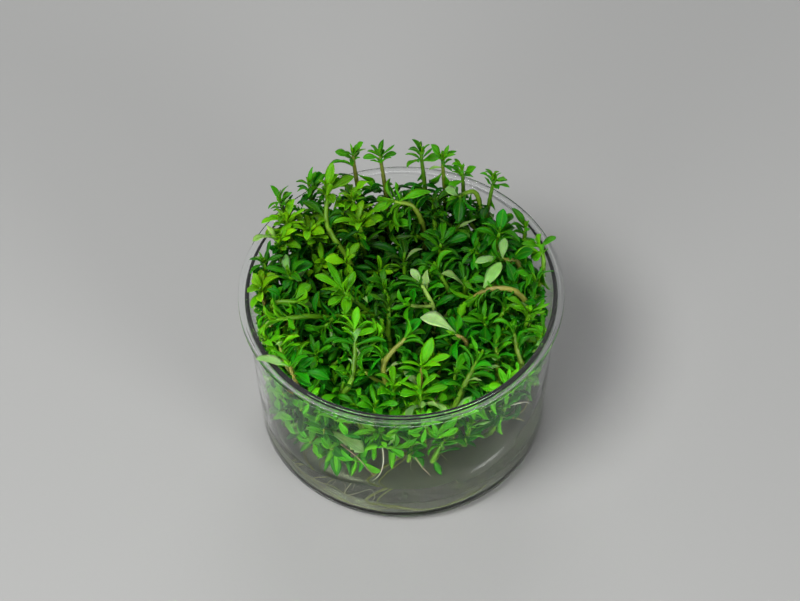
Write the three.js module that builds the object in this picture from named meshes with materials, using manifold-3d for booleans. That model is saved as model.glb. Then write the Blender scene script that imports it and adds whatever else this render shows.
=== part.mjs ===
// A clear plastic cup of plantlets rooted in a slanted gel. Millimetres, +Z up.
// The origin is the middle of the cup's foot, and the front of the cup faces -Y.
import * as THREE from 'three';
import { mergeVertices } from 'three/addons/utils/BufferGeometryUtils.js';
import Module from 'manifold-3d';

const wasm = await Module();
wasm.setup();

// Cup sizes
const ROUND_STEPS = 30;
const CUP_HEIGHT = 51.2;
const RIM_RADIUS = 42.5;
const RIM_THICKNESS = 0.9;
const RIM_BEAD_WIDTH = 1.0;
const RIM_BEAD_HEIGHT = 1.5;
const RIM_EDGE = 0.4;
const BODY_TOP_RADIUS = 40.7;
const BODY_FOOT_RADIUS = 39.0;
const MOUTH_RADIUS = 39.6;
const WALL = 1.1;
const FLOOR = 1.2;
const FOOT_FILLET = 3.0;
const FOOT_RING_OUTER = 35.8;
const FOOT_RING_INNER = 32.4;
const RECESS_RADIUS = 31.0;
const RECESS_DEPTH = 1.6;
const INSIDE_BEND_HEIGHT = 4;
const INSIDE_BEND_WIDTH = 1.5;
const INSIDE_BEND_LIFT = 0.4;
const RING_SLOPE = 0.8;
const CUP_COLOUR = 0xdfe6e4;
const CUP_OPACITY = 0.3;
const CUP_ROUGHNESS = 0.08;

// Gel sizes: level across the middle, then sloping up to the right wall and down to the left one
const GAP = 0.3;
const GEL_MIDDLE_HEIGHT = 15.7;
const GEL_SLOPE = 0.25;
const GEL_FLAT_REACH = 9;
const ROOT_DEPTH = 3;
const GEL_COLOUR = 0xa3a697;
const GEL_OPACITY = 0.7;
const GEL_ROUGHNESS = 0.25;
const GEL_BEND_WIDTH = 2;
const GEL_BEND_LIFT = 0.5;
const GEL_RING_SLOPE = 1.2;

// Plantlet sizes. Places along a stem or a leaf run from 0 at its foot to 1 at its tip.
const STEM_RADIUS = 0.8;
const STEM_SIDES = 4;
const HOLE_AIM = 0.25;
const HOLE_BELOW = 1.5 * GAP;
const HOLE_ABOVE = 3 * ROOT_DEPTH;
const HOLE_RADIUS = 2 * (STEM_RADIUS + GAP);
const HOLE_SIDES = 3;
const LEAF_LENGTH = 7;
const TALL_HEIGHT = 57.2;
const TALL_LEAF_LENGTH = 4.9;
const LEAF_WIDTH_SHARE = 0.34;
const LEAF_ARCH_SHARE = 0.1;
const LEAF_WIDEST = 0.62;
const CROWN_PLACE = 0.99;
const CROWN_STEP = 0.006;
const CROWN_LEANS = [0.75, 1.25];
const CROWN_LENGTHS = [0.75, 1.05];
const CROWN_SPREAD = 0.25;
const PAIR_BELOW_TIP = 6.5;
const TALL_PAIR_BELOW_TIP = 3;
const PAIR_LEANS = [1, 1.4];
const PAIR_LENGTHS = [0.9, 1.2];
const PAIR_SPREAD = 0.3;

// Free room: what every leaf keeps from its neighbours, from the wall and from the gel
const CLEARANCE = 0.35;
const OWN_OVERLAP = 0.5;
const GEL_CLEARANCE = 0.4;
const REACH_LIMIT = 42.4;
const RIM_REACH = 40.2;
const OPEN_HEIGHT = 55;
const LEAF_BALL_PLACES = [0.3, 0.45, 0.6, 0.8, 1];
const LEAF_BALL_LEAST = 0.28;
const LEAF_BALL_SHARE = 0.42;
const STEM_BALL_SPACING = 1.2;

// Colours read from the photograph
const FOLIAGE_ROUGHNESS = 0.4;
const TONES = {
  bright: 0x9bcf2c,
  fresh: 0x5fae22,
  deep: 0x2c7414,
  pale: 0xb7d98c,
};

// Each plantlet: its foot on the gel [x, y], the points its stem passes through up to its tip,
// its colour, how many leaves crown it, and the leaves that stand out, as
// [place along the stem from 0 to 1, tip of the leaf, width].
const PLANTLETS = [
  { name: 'back_1', foot: [-9, 27], stem: [[-11, 35.5, 46], [-12.3, 38.2, 61.2]], tone: 'fresh', crown: 4,
    leaves: [[0.95, [-17, 38.4, 62.2], 2.4], [0.98, [-9.4, 38.8, 65.5], 2]] },
  { name: 'back_2', foot: [-2.5, 26], stem: [[-3.6, 34.4, 48], [-5, 37.8, 61]], tone: 'fresh', crown: 4,
    leaves: [[0.96, [-9.6, 37.5, 60.5], 2], [0.96, [-0.6, 38, 61.5], 2]] },
  { name: 'back_3', foot: [3, 19], stem: [[6.6, 25.5, 42], [3.5, 27.5, 52], [-1.5, 27.3, 54.5]],
    tone: 'bright', crown: 3,
    leaves: [[0.93, [8.5, 28.5, 56.5], 2.8], [0.97, [-7.5, 25, 53], 3]] },
  { name: 'back_4', foot: [5, 27], stem: [[7, 35, 47], [5.9, 38.2, 61.3]], tone: 'fresh', crown: 4,
    leaves: [[0.9, [11, 37.4, 60], 3.2], [0.98, [3.6, 39, 66], 2]] },
  { name: 'back_5', foot: [12, 25], stem: [[12.3, 34.6, 47], [11.6, 36.6, 60.2]], tone: 'fresh', crown: 4,
    leaves: [[0.97, [8.6, 38, 65], 2.2]] },
  { name: 'back_6', foot: [16.5, 22], stem: [[17.3, 32.5, 46], [17, 35, 57.4]], tone: 'bright', crown: 4,
    leaves: [[0.9, [20.6, 35, 59], 2.2], [0.85, [13.2, 32.4, 53.8], 2.4]] },
  { name: 'back_7', foot: [22, 18], stem: [[23.4, 28, 46], [25.2, 31.4, 57.8]], tone: 'fresh', crown: 4,
    leaves: [[0.97, [28.8, 31, 58], 1.6]] },
  { name: 'back_8', foot: [9, 17], stem: [[9.8, 24.5, 39], [9, 29.5, 50.5]],
    tone: 'deep', crown: 4, leaves: [] },
  { name: 'left_1', foot: [-23, 17], stem: [[-28.6, 22.4, 46], [-31.8, 25.8, 57.4]],
    tone: 'fresh', crown: 4,
    leaves: [[0.98, [-34, 27.6, 61.5], 1.8]] },
  { name: 'left_2', foot: [-18, 22], stem: [[-23, 29, 47], [-23.9, 31, 57.5]], tone: 'fresh', crown: 3,
    leaves: [[0.97, [-22.8, 32.6, 63], 1.3]] },
  { name: 'left_3', foot: [-6, 10], stem: [[-13.5, 16.5, 42], [-19.3, 21.6, 52], [-19, 30, 57]],
    tone: 'bright', crown: 4,
    leaves: [[0.98, [-17.5, 33, 64], 2.6], [0.97, [-12, 32, 59.5], 3], [0.96, [-17.4, 24, 58], 2.6]] },
  { name: 'left_4', foot: [-9, 19], stem: [[-12, 26.5, 44], [-12.6, 29, 54]],
    tone: 'bright', crown: 4, leaves: [] },
  { name: 'left_5', foot: [-5, 15.5], stem: [[-9.5, 19.5, 41], [-10.6, 21.4, 52]],
    tone: 'bright', crown: 4,
    leaves: [[0.97, [-6.5, 19.5, 54.5], 2.8]] },
  { name: 'left_6', foot: [-22, 11], stem: [[-28.5, 18.5, 44], [-30, 21.3, 54.5]],
    tone: 'bright', crown: 4, leaves: [] },
  { name: 'left_7', foot: [-26, 7.5], stem: [[-31, 13, 42], [-32.2, 16, 53]],
    tone: 'bright', crown: 4, leaves: [] },
  { name: 'left_8', foot: [-17, 13], stem: [[-23, 17, 41], [-24.3, 19.5, 52]], tone: 'fresh', crown: 4,
    leaves: [[0.95, [-20, 17, 54], 3.2]] },
  { name: 'left_9', foot: [-22, 2], stem: [[-27, 4.5, 40], [-29, 5.5, 51]], tone: 'fresh', crown: 4,
    leaves: [[0.96, [-23, 8.5, 52], 4], [0.92, [-30.4, -1, 53.5], 2.4]] },
  { name: 'left_10', foot: [-29, 4.5], stem: [[-34.5, 8.5, 42], [-36, 9.5, 51.5]],
    tone: 'fresh', crown: 4, leaves: [] },
  { name: 'left_11', foot: [-30.5, -1.5], stem: [[-35, 0, 40], [-36.5, 0.8, 50.5]],
    tone: 'bright', crown: 4, leaves: [] },
  { name: 'left_12', foot: [-17.5, -2], stem: [[-17.5, -3.2, 42], [-23.5, -6.2, 48.6], [-32.5, -9.3, 51.5]],
    tone: 'bright',
    crown: 4, leaves: [] },
  { name: 'left_13', foot: [-28.5, -6], stem: [[-35.4, -5, 43], [-32.8, -3.2, 50.5], [-27, -3.6, 51.5]],
    tone: 'bright',
    crown: 4, leaves: [[0.96, [-23.6, 1.2, 52.5], 3.2]] },
  { name: 'left_14', foot: [-27, -12], stem: [[-33.5, -14, 42], [-34.8, -15, 50]],
    tone: 'bright', crown: 4, leaves: [] },
  { name: 'left_15', foot: [-23, -17.5], stem: [[-28, -22, 43.5], [-30, -20.8, 48.8], [-31.3, -17.8, 51.5]],
    tone: 'bright',
    crown: 4, leaves: [] },
  { name: 'left_16', foot: [-20, -21.5], stem: [[-26.5, -24.6, 41], [-28.6, -24, 51.2]],
    tone: 'pale', crown: 2,
    leaves: [[0.98, [-37, -24.3, 55], 3.2], [0.85, [-18.5, -26.5, 48.5], 2.6]] },
  { name: 'mid_1', foot: [-3, 3], stem: [[-7, -1, 41.5], [-10.8, -1.4, 46.8], [-15.2, 0.3, 50.5]],
    tone: 'bright', crown: 4,
    leaves: [[0.97, [-22.5, 3.8, 53], 2.8], [0.96, [-19, 7, 54.5], 2.4], [0.94, [-12, 4.5, 53.5], 2.4],
      [0.93, [-19, -4.5, 51], 2.4], [0.93, [-14.5, -6.6, 50], 3]] },
  { name: 'mid_2', foot: [0, -7.5], stem: [[-2, -11.5, 34], [-3.4, -7.6, 42], [-3.2, -2.8, 48.5]],
    tone: 'deep', crown: 3,
    leaves: [[0.75, [2.6, -9, 46], 2]] },
  { name: 'mid_3', foot: [-5, -16], stem: [[-4.3, -23, 40], [-4.6, -20, 46.5], [1.2, -15, 50.8]],
    tone: 'fresh', crown: 4,
    leaves: [[0.96, [5, -11, 53], 3]] },
  { name: 'mid_4', foot: [9.5, -1.5], stem: [[8.6, -1.4, 44], [6.8, -0.2, 49], [5.3, 1.4, 51.5]],
    tone: 'pale', crown: 3,
    leaves: [[0.97, [2.6, 4.6, 54], 2.4]] },
  { name: 'mid_5', foot: [15, 1], stem: [[13.6, 1.8, 41], [12.2, 3.8, 46.5], [9.8, 6.8, 50]],
    tone: 'fresh', crown: 4,
    leaves: [] },
  { name: 'mid_6', foot: [9, 10], stem: [[10.2, 15.5, 38], [10.8, 17.2, 49]], tone: 'fresh', crown: 4,
    leaves: [[0.93, [18, 18.5, 50], 3]] },
  { name: 'mid_7', foot: [-1, 8], stem: [[-3.5, 3.5, 36], [-4.2, 4.4, 46]],
    tone: 'fresh', crown: 4, leaves: [] },
  { name: 'mid_8', foot: [14.5, -8], stem: [[16.5, -12.4, 40], [16.4, -13.4, 46.5], [13.8, -13.6, 49.6]],
    tone: 'pale',
    crown: 2, leaves: [[0.97, [4.8, -10.6, 53], 4.6]] },
  { name: 'mid_9', foot: [-12, -18.5],
    stem: [[-17.4, -26.6, 38], [-13.6, -24.8, 44], [-12.2, -19, 48], [-12.2, -12.6, 51.5]],
    tone: 'bright', crown: 4, leaves: [[0.97, [-11.2, -8.6, 55.5], 2.4], [0.93, [-6.8, -14, 52.5], 2.8]] },
  { name: 'mid_10', foot: [-13, -6.5], stem: [[-13.3, -7.4, 43], [-16.4, -6, 48.2], [-20, -9.6, 48.4]],
    tone: 'fresh', crown: 4,
    leaves: [] },
  { name: 'mid_11', foot: [-18, -13.5], stem: [[-21.5, -16, 38], [-22, -17, 46.5]],
    tone: 'fresh', crown: 4, leaves: [] },
  { name: 'mid_12', foot: [2, -15.5], stem: [[4.4, -23.6, 40], [5, -22.6, 48]], tone: 'bright', crown: 4,
    leaves: [[0.96, [7.8, -17, 53], 3], [0.96, [12.2, -21.4, 51], 2.4]] },
  { name: 'mid_13', foot: [1, 1.8], stem: [[1.2, 10.5, 36], [1, 13.5, 46]],
    tone: 'deep', crown: 4, leaves: [] },
  { name: 'right_1', foot: [20, 22], stem: [[22, 29.6, 45], [20, 31.4, 53], [15.6, 29, 54]],
    tone: 'pale', crown: 2,
    leaves: [[0.97, [12.2, 30, 56], 3.4], [0.95, [15.4, 22.4, 51], 3.2]] },
  { name: 'right_2', foot: [19.5, 12.5], stem: [[25, 16.5, 42], [26.3, 18, 52]], tone: 'fresh', crown: 3,
    leaves: [[0.98, [27.4, 21.6, 57.5], 3.2], [0.93, [27.6, 11.5, 52.5], 3]] },
  { name: 'right_3', foot: [26.5, 5.5], stem: [[31.6, 9.6, 44], [30.8, 10.2, 49], [26, 8.9, 52]],
    tone: 'pale', crown: 3,
    leaves: [[0.97, [19.5, 7.2, 53], 2.8], [0.95, [27.5, 14, 54.5], 2.6], [0.9, [29.5, 1.4, 52], 3]] },
  { name: 'right_4', foot: [27, 14], stem: [[32.4, 18.6, 42], [33.4, 19.6, 51.5]],
    tone: 'fresh', crown: 4, leaves: [] },
  { name: 'right_5', foot: [31, 6], stem: [[35.8, 6, 40], [37.6, 8.8, 50.4], [36.8, 12, 53.2]],
    tone: 'bright', crown: 3,
    leaves: [[0.97, [31.8, 12, 54.5], 2.4], [0.97, [41, 14.5, 54], 2.2], [0.9, [35, 8.5, 51.5], 2.2]] },
  { name: 'right_6', foot: [28.5, -4.5],
    stem: [[33.8, -3.6, 44.5], [29.6, -1.6, 51.8], [23.3, -0.9, 52], [18.7, -1.4, 49.5]],
    tone: 'bright', crown: 4, leaves: [[0.88, [26.2, 5.6, 54.8], 3.8]] },
  { name: 'right_7', foot: [29, -8.5], stem: [[32, -8, 41], [33, -7, 49.5]],
    tone: 'bright', crown: 4, leaves: [] },
  { name: 'right_8', foot: [21.5, -17], stem: [[24.6, -21.4, 39], [24.2, -16.6, 48.4]],
    tone: 'pale', crown: 4,
    leaves: [[0.8, [23.6, -22, 49.5], 2.6]] },
  { name: 'right_9', foot: [27, -14.5], stem: [[31, -18.4, 39.5], [29.6, -16.4, 46.2], [29, -13, 49]],
    tone: 'fresh',
    crown: 4, leaves: [] },
  { name: 'right_10', foot: [13, -21.5],
    stem: [[12.6, -30.4, 38.5], [15.8, -26.8, 45.8], [19.4, -21.2, 49]],
    tone: 'fresh',
    crown: 4, leaves: [] },
  { name: 'right_11', foot: [17.5, 5], stem: [[16.9, 3.2, 38], [16.6, 3.9, 47.5]],
    tone: 'fresh', crown: 4, leaves: [] },
  { name: 'right_12', foot: [29.5, 0.8], stem: [[34.8, 1.6, 40], [35.2, 3.4, 49.5]],
    tone: 'fresh', crown: 4, leaves: [] },
  { name: 'right_13', foot: [19.5, -6.5], stem: [[22.4, -8.4, 38], [21.6, -8, 47]],
    tone: 'fresh', crown: 4,
    leaves: [[0.95, [21.5, -14, 46], 3.6]] },
  { name: 'front_1', foot: [5.5, -22], stem: [[4.8, -31.8, 38], [4.4, -29.6, 46.5]],
    tone: 'bright', crown: 4,
    leaves: [[0.97, [11.4, -29.4, 48.5], 2.6], [0.96, [-0.8, -31, 47.5], 2.8]] },
  { name: 'front_2', foot: [-2, -21.5], stem: [[-3, -31.5, 38], [-2.3, -28.6, 47]],
    tone: 'bright', crown: 4, leaves: [] },
  { name: 'front_3', foot: [-8, -21.5], stem: [[-8.2, -33, 34], [-7.2, -32.2, 44]],
    tone: 'fresh', crown: 4, leaves: [] },
  { name: 'front_4', foot: [-14.5, -24.5], stem: [[-19.6, -28.4, 25], [-20.4, -29, 31]],
    tone: 'pale', crown: 3,
    leaves: [[0.97, [-10.4, -34.2, 27.4], 4.2]] },
  { name: 'front_5', foot: [1.5, -26], stem: [[1.2, -34.4, 24], [2, -34.6, 30]],
    tone: 'fresh', crown: 4, leaves: [] },
  { name: 'front_6', foot: [9.5, -25], stem: [[7.4, -34.2, 23], [10.2, -33, 30]],
    tone: 'fresh', crown: 4, leaves: [] },
  { name: 'front_7', foot: [17, -22.5], stem: [[15.5, -31.6, 27], [17.2, -30.6, 33]],
    tone: 'bright', crown: 4, leaves: [] },
  { name: 'front_8', foot: [22, -22.5], stem: [[25, -25.6, 29], [26.6, -24.4, 35]],
    tone: 'fresh', crown: 4, leaves: [] },
];

// Numbers between 0 and 1 that come out the same on every run
const FIRST_SEED = 101;
const SEED_STEP = 37;

class Draws {
  constructor(seed) {
    this.state = seed;
  }
  next() {
    this.state = (this.state * 16807) % 2147483647;
    return this.state / 2147483647;
  }
  between(low, high) {
    return low + (high - low) * this.next();
  }
}

const vector = (values) => new THREE.Vector3(...values);

function gelTop(x) {
  const beyond = Math.max(Math.abs(x) - GEL_FLAT_REACH, 0);
  return GEL_MIDDLE_HEIGHT + GEL_SLOPE * beyond * Math.sign(x);
}

function innerWall(z) {
  const foot = BODY_FOOT_RADIUS - WALL;
  return foot + (MOUTH_RADIUS - foot) * (z / CUP_HEIGHT);
}

// A three.js geometry as a solid that can be joined or cut
function solid(geometry) {
  const bare = geometry.clone();
  bare.deleteAttribute('normal');
  bare.deleteAttribute('uv');
  const merged = mergeVertices(bare, 1e-4);
  const vertProperties = merged.getAttribute('position').array;
  const triVerts = new Uint32Array(merged.index.array);
  return new wasm.Manifold(new wasm.Mesh({ numProp: 3, vertProperties, triVerts }));
}

function geometryOf(body) {
  const mesh = body.getMesh();
  const geometry = new THREE.BufferGeometry();
  geometry.setAttribute('position', new THREE.BufferAttribute(mesh.vertProperties, 3));
  geometry.setIndex(new THREE.BufferAttribute(mesh.triVerts, 1));
  geometry.computeVertexNormals();
  return geometry;
}

// A profile of [radius, height] points turned about the Z axis
function turned(profile) {
  const lathe = new THREE.LatheGeometry(profile.map(([r, z]) => new THREE.Vector2(r, z)), ROUND_STEPS);
  return lathe.rotateX(Math.PI / 2);
}

// The cup: a raised floor inside a foot ring, a tapering wall, and a flat rim with a bead at its edge
function cupGeometry() {
  const beadInner = RIM_RADIUS - RIM_BEAD_WIDTH;
  const inside = BODY_FOOT_RADIUS - WALL;
  return turned([
    [0, RECESS_DEPTH],
    [RECESS_RADIUS, RECESS_DEPTH],
    [FOOT_RING_INNER, 0],
    [FOOT_RING_OUTER, 0],
    [BODY_FOOT_RADIUS - FOOT_FILLET * 0.3, FOOT_FILLET * 0.3],
    [BODY_FOOT_RADIUS, FOOT_FILLET],
    [BODY_TOP_RADIUS, CUP_HEIGHT - RIM_THICKNESS],
    [beadInner, CUP_HEIGHT - RIM_THICKNESS],
    [beadInner, CUP_HEIGHT - RIM_BEAD_HEIGHT],
    [RIM_RADIUS, CUP_HEIGHT - RIM_BEAD_HEIGHT],
    [RIM_RADIUS, CUP_HEIGHT - RIM_EDGE],
    [RIM_RADIUS - RIM_EDGE, CUP_HEIGHT],
    [MOUTH_RADIUS, CUP_HEIGHT],
    [inside, INSIDE_BEND_HEIGHT],
    [inside - INSIDE_BEND_WIDTH, FLOOR + INSIDE_BEND_LIFT],
    [FOOT_RING_INNER + RING_SLOPE, FLOOR],
    [RECESS_RADIUS, FLOOR + RECESS_DEPTH],
    [0, FLOOR + RECESS_DEPTH],
  ]);
}

// The gel: it fills the cup's foot, and its top slopes up to the right
function gelGeometry(feet) {
  const side = BODY_FOOT_RADIUS - WALL;
  const tall = CUP_HEIGHT / 2;
  const block = solid(turned([
    [0, FLOOR + RECESS_DEPTH + GAP],
    [RECESS_RADIUS + GAP, FLOOR + RECESS_DEPTH + GAP],
    [FOOT_RING_INNER + GEL_RING_SLOPE, FLOOR + GAP],
    [side - GEL_BEND_WIDTH, FLOOR + GAP + GEL_BEND_LIFT],
    [side - GAP, INSIDE_BEND_HEIGHT + GAP],
    [side - GAP, tall],
    [0, tall],
  ]));
  const topLine = [-CUP_HEIGHT, -GEL_FLAT_REACH, GEL_FLAT_REACH, CUP_HEIGHT];
  const air = new THREE.Shape([
    ...topLine.map((x) => new THREE.Vector2(x, gelTop(x))),
    new THREE.Vector2(CUP_HEIGHT, CUP_HEIGHT),
    new THREE.Vector2(-CUP_HEIGHT, CUP_HEIGHT),
  ]);
  const depth = 2 * CUP_HEIGHT;
  const above = new THREE.ExtrudeGeometry(air, { depth, bevelEnabled: false });
  above.translate(0, 0, -depth / 2).rotateX(Math.PI / 2);
  return geometryOf(feet.reduce((body, foot) => body.subtract(foot), block.subtract(solid(above))));
}

// The line a stem follows, from its buried foot to its tip
function stemCurve(plantlet) {
  const [x, y] = plantlet.foot;
  const foot = new THREE.Vector3(x, y, gelTop(x) - ROOT_DEPTH);
  return new THREE.CatmullRomCurve3([foot, ...plantlet.stem.map(vector)], false, 'centripetal');
}

function roundShape(radius, sides) {
  const corners = Array.from({ length: sides }, (_, k) => {
    const angle = (k * 2 * Math.PI) / sides;
    return new THREE.Vector2(radius * Math.cos(angle), radius * Math.sin(angle));
  });
  return new THREE.Shape(corners);
}

// How many straight pieces a stem's tube has
const stemSteps = (curve) => 2 * curve.points.length - 3;

function stemGeometry(curve) {
  return new THREE.ExtrudeGeometry(roundShape(STEM_RADIUS, STEM_SIDES), {
    steps: stemSteps(curve),
    extrudePath: curve,
  });
}

// The point nearest to a place on the middle line of a stem's tube
function onTube(curve, place) {
  const knots = curve.getSpacedPoints(stemSteps(curve));
  const near = knots.slice(1).map((knot, k) => (
    new THREE.Line3(knots[k], knot).closestPointToPoint(place, true, new THREE.Vector3())
  ));
  return near.reduce((best, point) => (point.distanceTo(place) < best.distanceTo(place) ? point : best));
}

// The hole in the gel round a stem's foot
function footHole(curve) {
  const foot = curve.points[0];
  const out = curve.getPoint(HOLE_AIM).sub(foot).normalize();
  const start = foot.clone().addScaledVector(out, -HOLE_BELOW);
  const end = foot.clone().addScaledVector(out, HOLE_ABOVE);
  return solid(new THREE.ExtrudeGeometry(roundShape(HOLE_RADIUS, HOLE_SIDES), {
    steps: 1,
    extrudePath: new THREE.LineCurve3(start, end),
  }));
}

// The middle line of a leaf, which bows by arch towards its upper side
function leafPoint(leaf, s) {
  const along = new THREE.Vector3().lerpVectors(leaf.base, leaf.tip, s);
  return along.addScaledVector(leaf.up, 4 * leaf.arch * s * (1 - s));
}

function makeLeaf(base, tip, upHint, width) {
  const along = tip.clone().sub(base);
  const length = along.length();
  const direction = along.clone().normalize();
  const up = upHint.clone().addScaledVector(direction, -upHint.dot(direction)).normalize();
  return { base, tip, up, side: direction.clone().cross(up), width, arch: LEAF_ARCH_SHARE * length };
}

// A leaf: a thin blade bent across its widest place, with a sharp base and tip and a straight keel
function leafSolid(leaf, base) {
  const middle = leafPoint(leaf, LEAF_WIDEST);
  const left = middle.clone().addScaledVector(leaf.side, leaf.width / 2);
  const right = middle.clone().addScaledVector(leaf.side, -leaf.width / 2);
  const geometry = new THREE.BufferGeometry().setFromPoints([base, left, leaf.tip, right]);
  geometry.setIndex([0, 1, 3, 1, 2, 3, 1, 0, 2, 0, 3, 2]);
  return solid(geometry);
}

// Balls along a leaf's outer part, which stand for it in the search for free room
function leafBalls(leaf, owner) {
  return LEAF_BALL_PLACES.map((s) => {
    const spread = s < LEAF_WIDEST ? s / LEAF_WIDEST : (1 - s) / (1 - LEAF_WIDEST);
    const radius = LEAF_BALL_LEAST + LEAF_BALL_SHARE * leaf.width * spread;
    return { at: leafPoint(leaf, s), radius, owner, outer: s > 0.5 };
  });
}

function stemBalls(curve, owner) {
  const count = Math.ceil(curve.getLength() / STEM_BALL_SPACING);
  return Array.from({ length: count + 1 }, (_, k) => (
    { at: curve.getPoint(k / count), radius: STEM_RADIUS, owner, outer: false }
  ));
}

function ballInside({ at, radius }) {
  const out = Math.hypot(at.x, at.y);
  if (at.z - radius < gelTop(at.x) + GEL_CLEARANCE) {
    return false;
  }
  if (at.z - radius < CUP_HEIGHT + CLEARANCE) {
    return out + radius < innerWall(Math.min(at.z, CUP_HEIGHT)) - CLEARANCE;
  }
  return out + radius < (at.z < OPEN_HEIGHT ? RIM_REACH : REACH_LIMIT);
}

function hasRoom(balls, taken) {
  return balls.every((ball) => ballInside(ball) && taken.every((other) => {
    const same = other.owner === ball.owner;
    if (same && !(other.outer && ball.outer)) {
      return true;
    }
    const gap = same ? -OWN_OVERLAP : CLEARANCE;
    return other.at.distanceTo(ball.at) > other.radius + ball.radius + gap;
  }));
}

// A leaf that leaves the stem at t, turned round the stem by turn and leaning out by lean
function leafOnStem(curve, t, turn, lean, length) {
  const axis = curve.getTangent(t);
  const across = Math.abs(axis.y) < 0.9 ? new THREE.Vector3(0, 1, 0) : new THREE.Vector3(1, 0, 0);
  const first = axis.clone().cross(across).normalize();
  const second = axis.clone().cross(first);
  const out = first.multiplyScalar(Math.cos(turn)).addScaledVector(second, Math.sin(turn));
  const direction = out.multiplyScalar(Math.sin(lean)).addScaledVector(axis, Math.cos(lean));
  const base = curve.getPoint(t);
  const tip = base.clone().addScaledVector(direction, length);
  return makeLeaf(base, tip, axis, length * LEAF_WIDTH_SHARE);
}

const TURN_TRIES = [0, 0.4, -0.4, 0.8, -0.8];
const LEAN_TRIES = [0, -0.35, 0.35];
const LENGTH_TRIES = [1, 0.75, 0.55];

function tryLeaf(plantlet, t, turn, lean, length, taken) {
  for (const share of LENGTH_TRIES) {
    for (const extraLean of LEAN_TRIES) {
      for (const extraTurn of TURN_TRIES) {
        const leaf = leafOnStem(plantlet.curve, t, turn + extraTurn, lean + extraLean, length * share);
        const balls = leafBalls(leaf, plantlet);
        if (hasRoom(balls, taken)) {
          taken.push(...balls);
          plantlet.grown.push(leaf);
          return;
        }
      }
    }
  }
}

// Leaves on every plantlet: first the ones that stand out, then the crowns, then a pair below each
function growLeaves(plants) {
  const taken = plants.flatMap((plant) => stemBalls(plant.curve, plant));
  for (const plant of plants) {
    for (const [t, tip, width] of plant.leaves) {
      const leaf = makeLeaf(plant.curve.getPoint(t), vector(tip), new THREE.Vector3(0, 0, 1), width);
      taken.push(...leafBalls(leaf, plant));
      plant.grown.push(leaf);
    }
  }
  for (const plant of plants) {
    for (let k = 0; k < plant.crown; k += 1) {
      const share = k / plant.crown;
      const turn = plant.phase + 2 * Math.PI * share + plant.draws.between(-CROWN_SPREAD, CROWN_SPREAD);
      const lean = plant.draws.between(...CROWN_LEANS);
      const length = plant.leafLength * plant.draws.between(...CROWN_LENGTHS);
      tryLeaf(plant, CROWN_PLACE - k * CROWN_STEP, turn, lean, length, taken);
    }
  }
  for (const plant of plants) {
    const t = 1 - plant.pairBelowTip / plant.curve.getLength();
    for (const half of [Math.PI / 2, (3 * Math.PI) / 2]) {
      const turn = plant.phase + half + plant.draws.between(-PAIR_SPREAD, PAIR_SPREAD);
      const lean = plant.draws.between(...PAIR_LEANS);
      const length = plant.leafLength * plant.draws.between(...PAIR_LENGTHS);
      tryLeaf(plant, t, turn, lean, length, taken);
    }
  }
}

function part(name, geometry, color, roughness, opacity = 1) {
  const material = new THREE.MeshStandardMaterial({
    color, roughness, metalness: 0, transparent: opacity < 1, opacity,
  });
  const mesh = new THREE.Mesh(geometry, material);
  mesh.name = name;
  return mesh;
}

const plants = PLANTLETS.map((plantlet, index) => {
  const draws = new Draws(FIRST_SEED + SEED_STEP * index);
  const phase = draws.between(0, 2 * Math.PI);
  const tall = plantlet.stem.at(-1)[2] > TALL_HEIGHT;
  const leafLength = tall ? TALL_LEAF_LENGTH : LEAF_LENGTH;
  const pairBelowTip = tall ? TALL_PAIR_BELOW_TIP : PAIR_BELOW_TIP;
  return { ...plantlet, curve: stemCurve(plantlet), draws, phase, leafLength, pairBelowTip, grown: [] };
});
growLeaves(plants);

const group = new THREE.Group();
group.add(part('cup', cupGeometry(), CUP_COLOUR, CUP_ROUGHNESS, CUP_OPACITY));
const feet = plants.map((plant) => footHole(plant.curve));
group.add(part('gel', gelGeometry(feet), GEL_COLOUR, GEL_ROUGHNESS, GEL_OPACITY));
for (const plant of plants) {
  const leaves = plant.grown.map((leaf) => leafSolid(leaf, onTube(plant.curve, leaf.base)));
  const body = leaves.reduce((whole, leaf) => whole.add(leaf), solid(stemGeometry(plant.curve)));
  group.add(part(`sprig_${plant.name}`, geometryOf(body), TONES[plant.tone], FOLIAGE_ROUGHNESS));
}

export default group;
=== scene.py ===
"""A clear cup of aquarium plantlets rooted in slanted gel.

Lengths are in millimetres until a mesh is made."""
import math
import random

import bpy
import numpy as np
from mathutils import Matrix, Vector


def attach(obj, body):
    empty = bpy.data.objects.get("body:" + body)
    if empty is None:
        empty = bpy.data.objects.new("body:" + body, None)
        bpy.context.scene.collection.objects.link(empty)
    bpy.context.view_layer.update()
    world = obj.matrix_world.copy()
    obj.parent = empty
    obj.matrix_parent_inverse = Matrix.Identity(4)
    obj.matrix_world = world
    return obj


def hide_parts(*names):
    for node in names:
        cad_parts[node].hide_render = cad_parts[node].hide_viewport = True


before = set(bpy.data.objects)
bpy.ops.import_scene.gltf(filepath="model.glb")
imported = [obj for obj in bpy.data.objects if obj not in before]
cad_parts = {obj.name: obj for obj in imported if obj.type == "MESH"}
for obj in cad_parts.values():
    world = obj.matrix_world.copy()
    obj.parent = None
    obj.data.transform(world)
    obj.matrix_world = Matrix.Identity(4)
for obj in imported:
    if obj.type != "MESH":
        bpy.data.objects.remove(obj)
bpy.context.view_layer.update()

MM = 0.001

# Camera: the view of the photograph
ELEVATION = math.radians(52.4)
DISTANCE = 0.611
TARGET = Vector((-0.00034, 0, 0.0466))
ROLL = math.radians(-1.0)

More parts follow.
